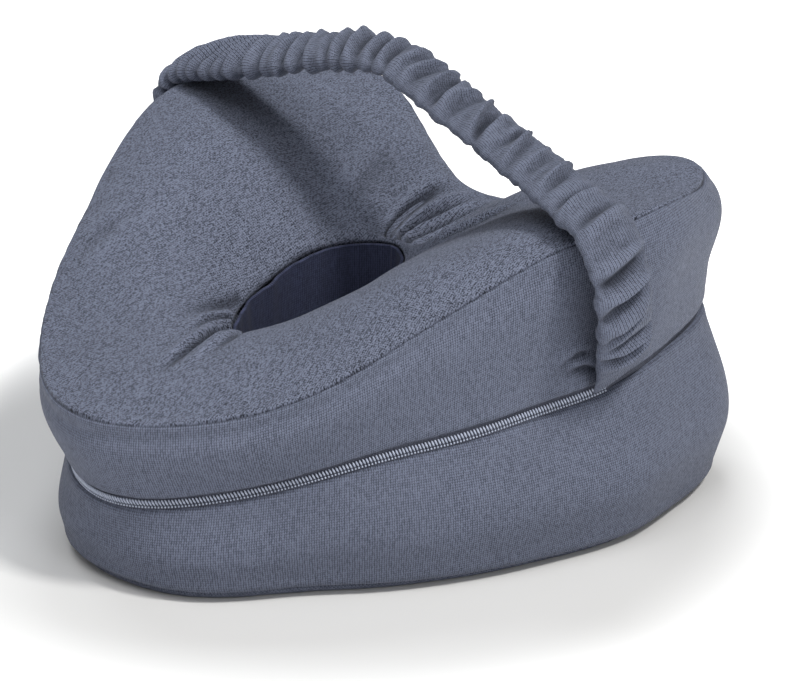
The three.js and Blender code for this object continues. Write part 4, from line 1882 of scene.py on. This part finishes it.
def look_angles(place: Point, target: Point) -> tuple[float, float, float]:
    """Work out how to turn a camera or a light so that it looks at a target.

    Args:
        place: Where it stands.
        target: What it looks at.

    Returns:
        Its Euler angles.
    """
    way = np.array(target) - np.array(place)
    flat = math.hypot(way[0], way[1])
    return (math.pi / 2 + math.atan2(way[2], flat), 0.0, math.atan2(way[1], way[0]) - math.pi / 2)


@dataclass(frozen=True)
class Studio:
    """A white sweep, soft lights and the camera at the photo's angle."""

    azimuth_deg: float = 41.49
    elevation_deg: float = 21.62
    distance: float = 1.155
    target: Point = (-0.00904, 0.0520, 0.04157)
    lens: float = 134.19
    sensor: float = 36.0
    floor_half: float = 3.0
    floor_drop: float = 0.0002
    # The floor's grey, and its painted glow: the distances where it sets in and is full, and how bright it is
    floor_tone: float = 0.66
    glow_from: float = 0.14
    glow_full: float = 0.225
    glow: float = 0.8
    world_strength: float = 0.12
    lights: tuple[AreaLight, ...] = (
        AreaLight("key light", 91.0, 59.0, 0.42, 54.0, (1.0, 0.985, 0.95)),
        AreaLight("right light", 80.0, 24.0, 1.2, 15.0),
        AreaLight("right front light", 60.0, 35.0, 1.6, 8.0),
        AreaLight("front light", 0.0, 30.0, 1.6, 8.0),
        AreaLight("high front light", 10.0, 66.0, 1.6, 31.0),
        AreaLight("back light", 220.0, 68.0, 0.8, 19.0, (0.95, 0.98, 1.0)),
        AreaLight("back left light", 262.0, 60.0, 0.8, 12.0, (0.95, 0.98, 1.0)),
    )

    def camera(self) -> None:
        """Make the camera."""
        way = bearing(self.azimuth_deg, self.elevation_deg)
        place = tuple(t + self.distance * w for t, w in zip(self.target, way))
        data = bpy.data.cameras.new("camera")
        data.lens = self.lens
        data.sensor_width = self.sensor
        camera = bpy.data.objects.new("camera", data)
        camera.location = place
        camera.rotation_euler = look_angles(place, self.target)
        bpy.context.scene.collection.objects.link(camera)
        bpy.context.scene.camera = camera

    def floor(self) -> None:
        """Make the floor: grey by the pillow, with a painted glow that rises away from it and shows the floor
        white further out.
        """
        bpy.ops.object.select_all(action="DESELECT")
        bpy.ops.mesh.primitive_plane_add(size=2 * self.floor_half, location=(0.0, 0.0, -self.floor_drop))
        floor = bpy.context.active_object
        floor.name = "studio_floor"
        made, hand, shader = new_material("floor with painted glow")
        shader.inputs["Base Color"].default_value = (self.floor_tone, self.floor_tone, self.floor_tone, 1.0)
        shader.inputs["Roughness"].default_value = 0.9
        shader.inputs["Specular IOR Level"].default_value = 0.1
        # Painted glow: the floor gives out light that rises with distance from the pillow
        shader.inputs["Emission Strength"].default_value = 1.0
        away = hand.add("ShaderNodeVectorMath", operation="LENGTH")
        hand.join(hand.add("ShaderNodeTexCoord").outputs["Object"], away.inputs[0])
        ramp = hand.add("ShaderNodeMapRange", interpolation_type="SMOOTHSTEP")
        ramp.inputs["From Min"].default_value = self.glow_from
        ramp.inputs["From Max"].default_value = self.glow_full
        hand.join(away.outputs["Value"], ramp.inputs["Value"])
        glow = hand.blend(ramp.outputs[0], (0.0, 0.0, 0.0), (self.glow, self.glow, self.glow))
        hand.join(glow, shader.inputs["Emission Color"])
        floor.data.materials.append(made)

    def world(self) -> None:
        """Make the even white surroundings."""
        world = bpy.data.worlds.new("white room")
        world.use_nodes = True
        background = world.node_tree.nodes["Background"]
        background.inputs["Color"].default_value = (1.0, 1.0, 1.0, 1.0)
        background.inputs["Strength"].default_value = self.world_strength
        bpy.context.scene.world = world

    def build(self) -> None:
        """Make everything round the pillow."""
        self.camera()
        self.floor()
        self.world()
        for light in self.lights:
            light.build()
        bpy.context.scene.view_settings.view_transform = "Standard"


def main() -> None:
    """Build the pillow and its studio."""
    logging.basicConfig(level=logging.INFO, format="%(message)s")
    form = CushionForm()
    Studio().build()
    wardrobe = Wardrobe()
    for part in (Filling(form), Cover(form), Zip(form), LegStrap()):
        for piece in part.build(wardrobe):
            LOG.info("%s: %d faces", piece.name, len(piece.data.polygons))


if __name__ == "__main__":
    main()
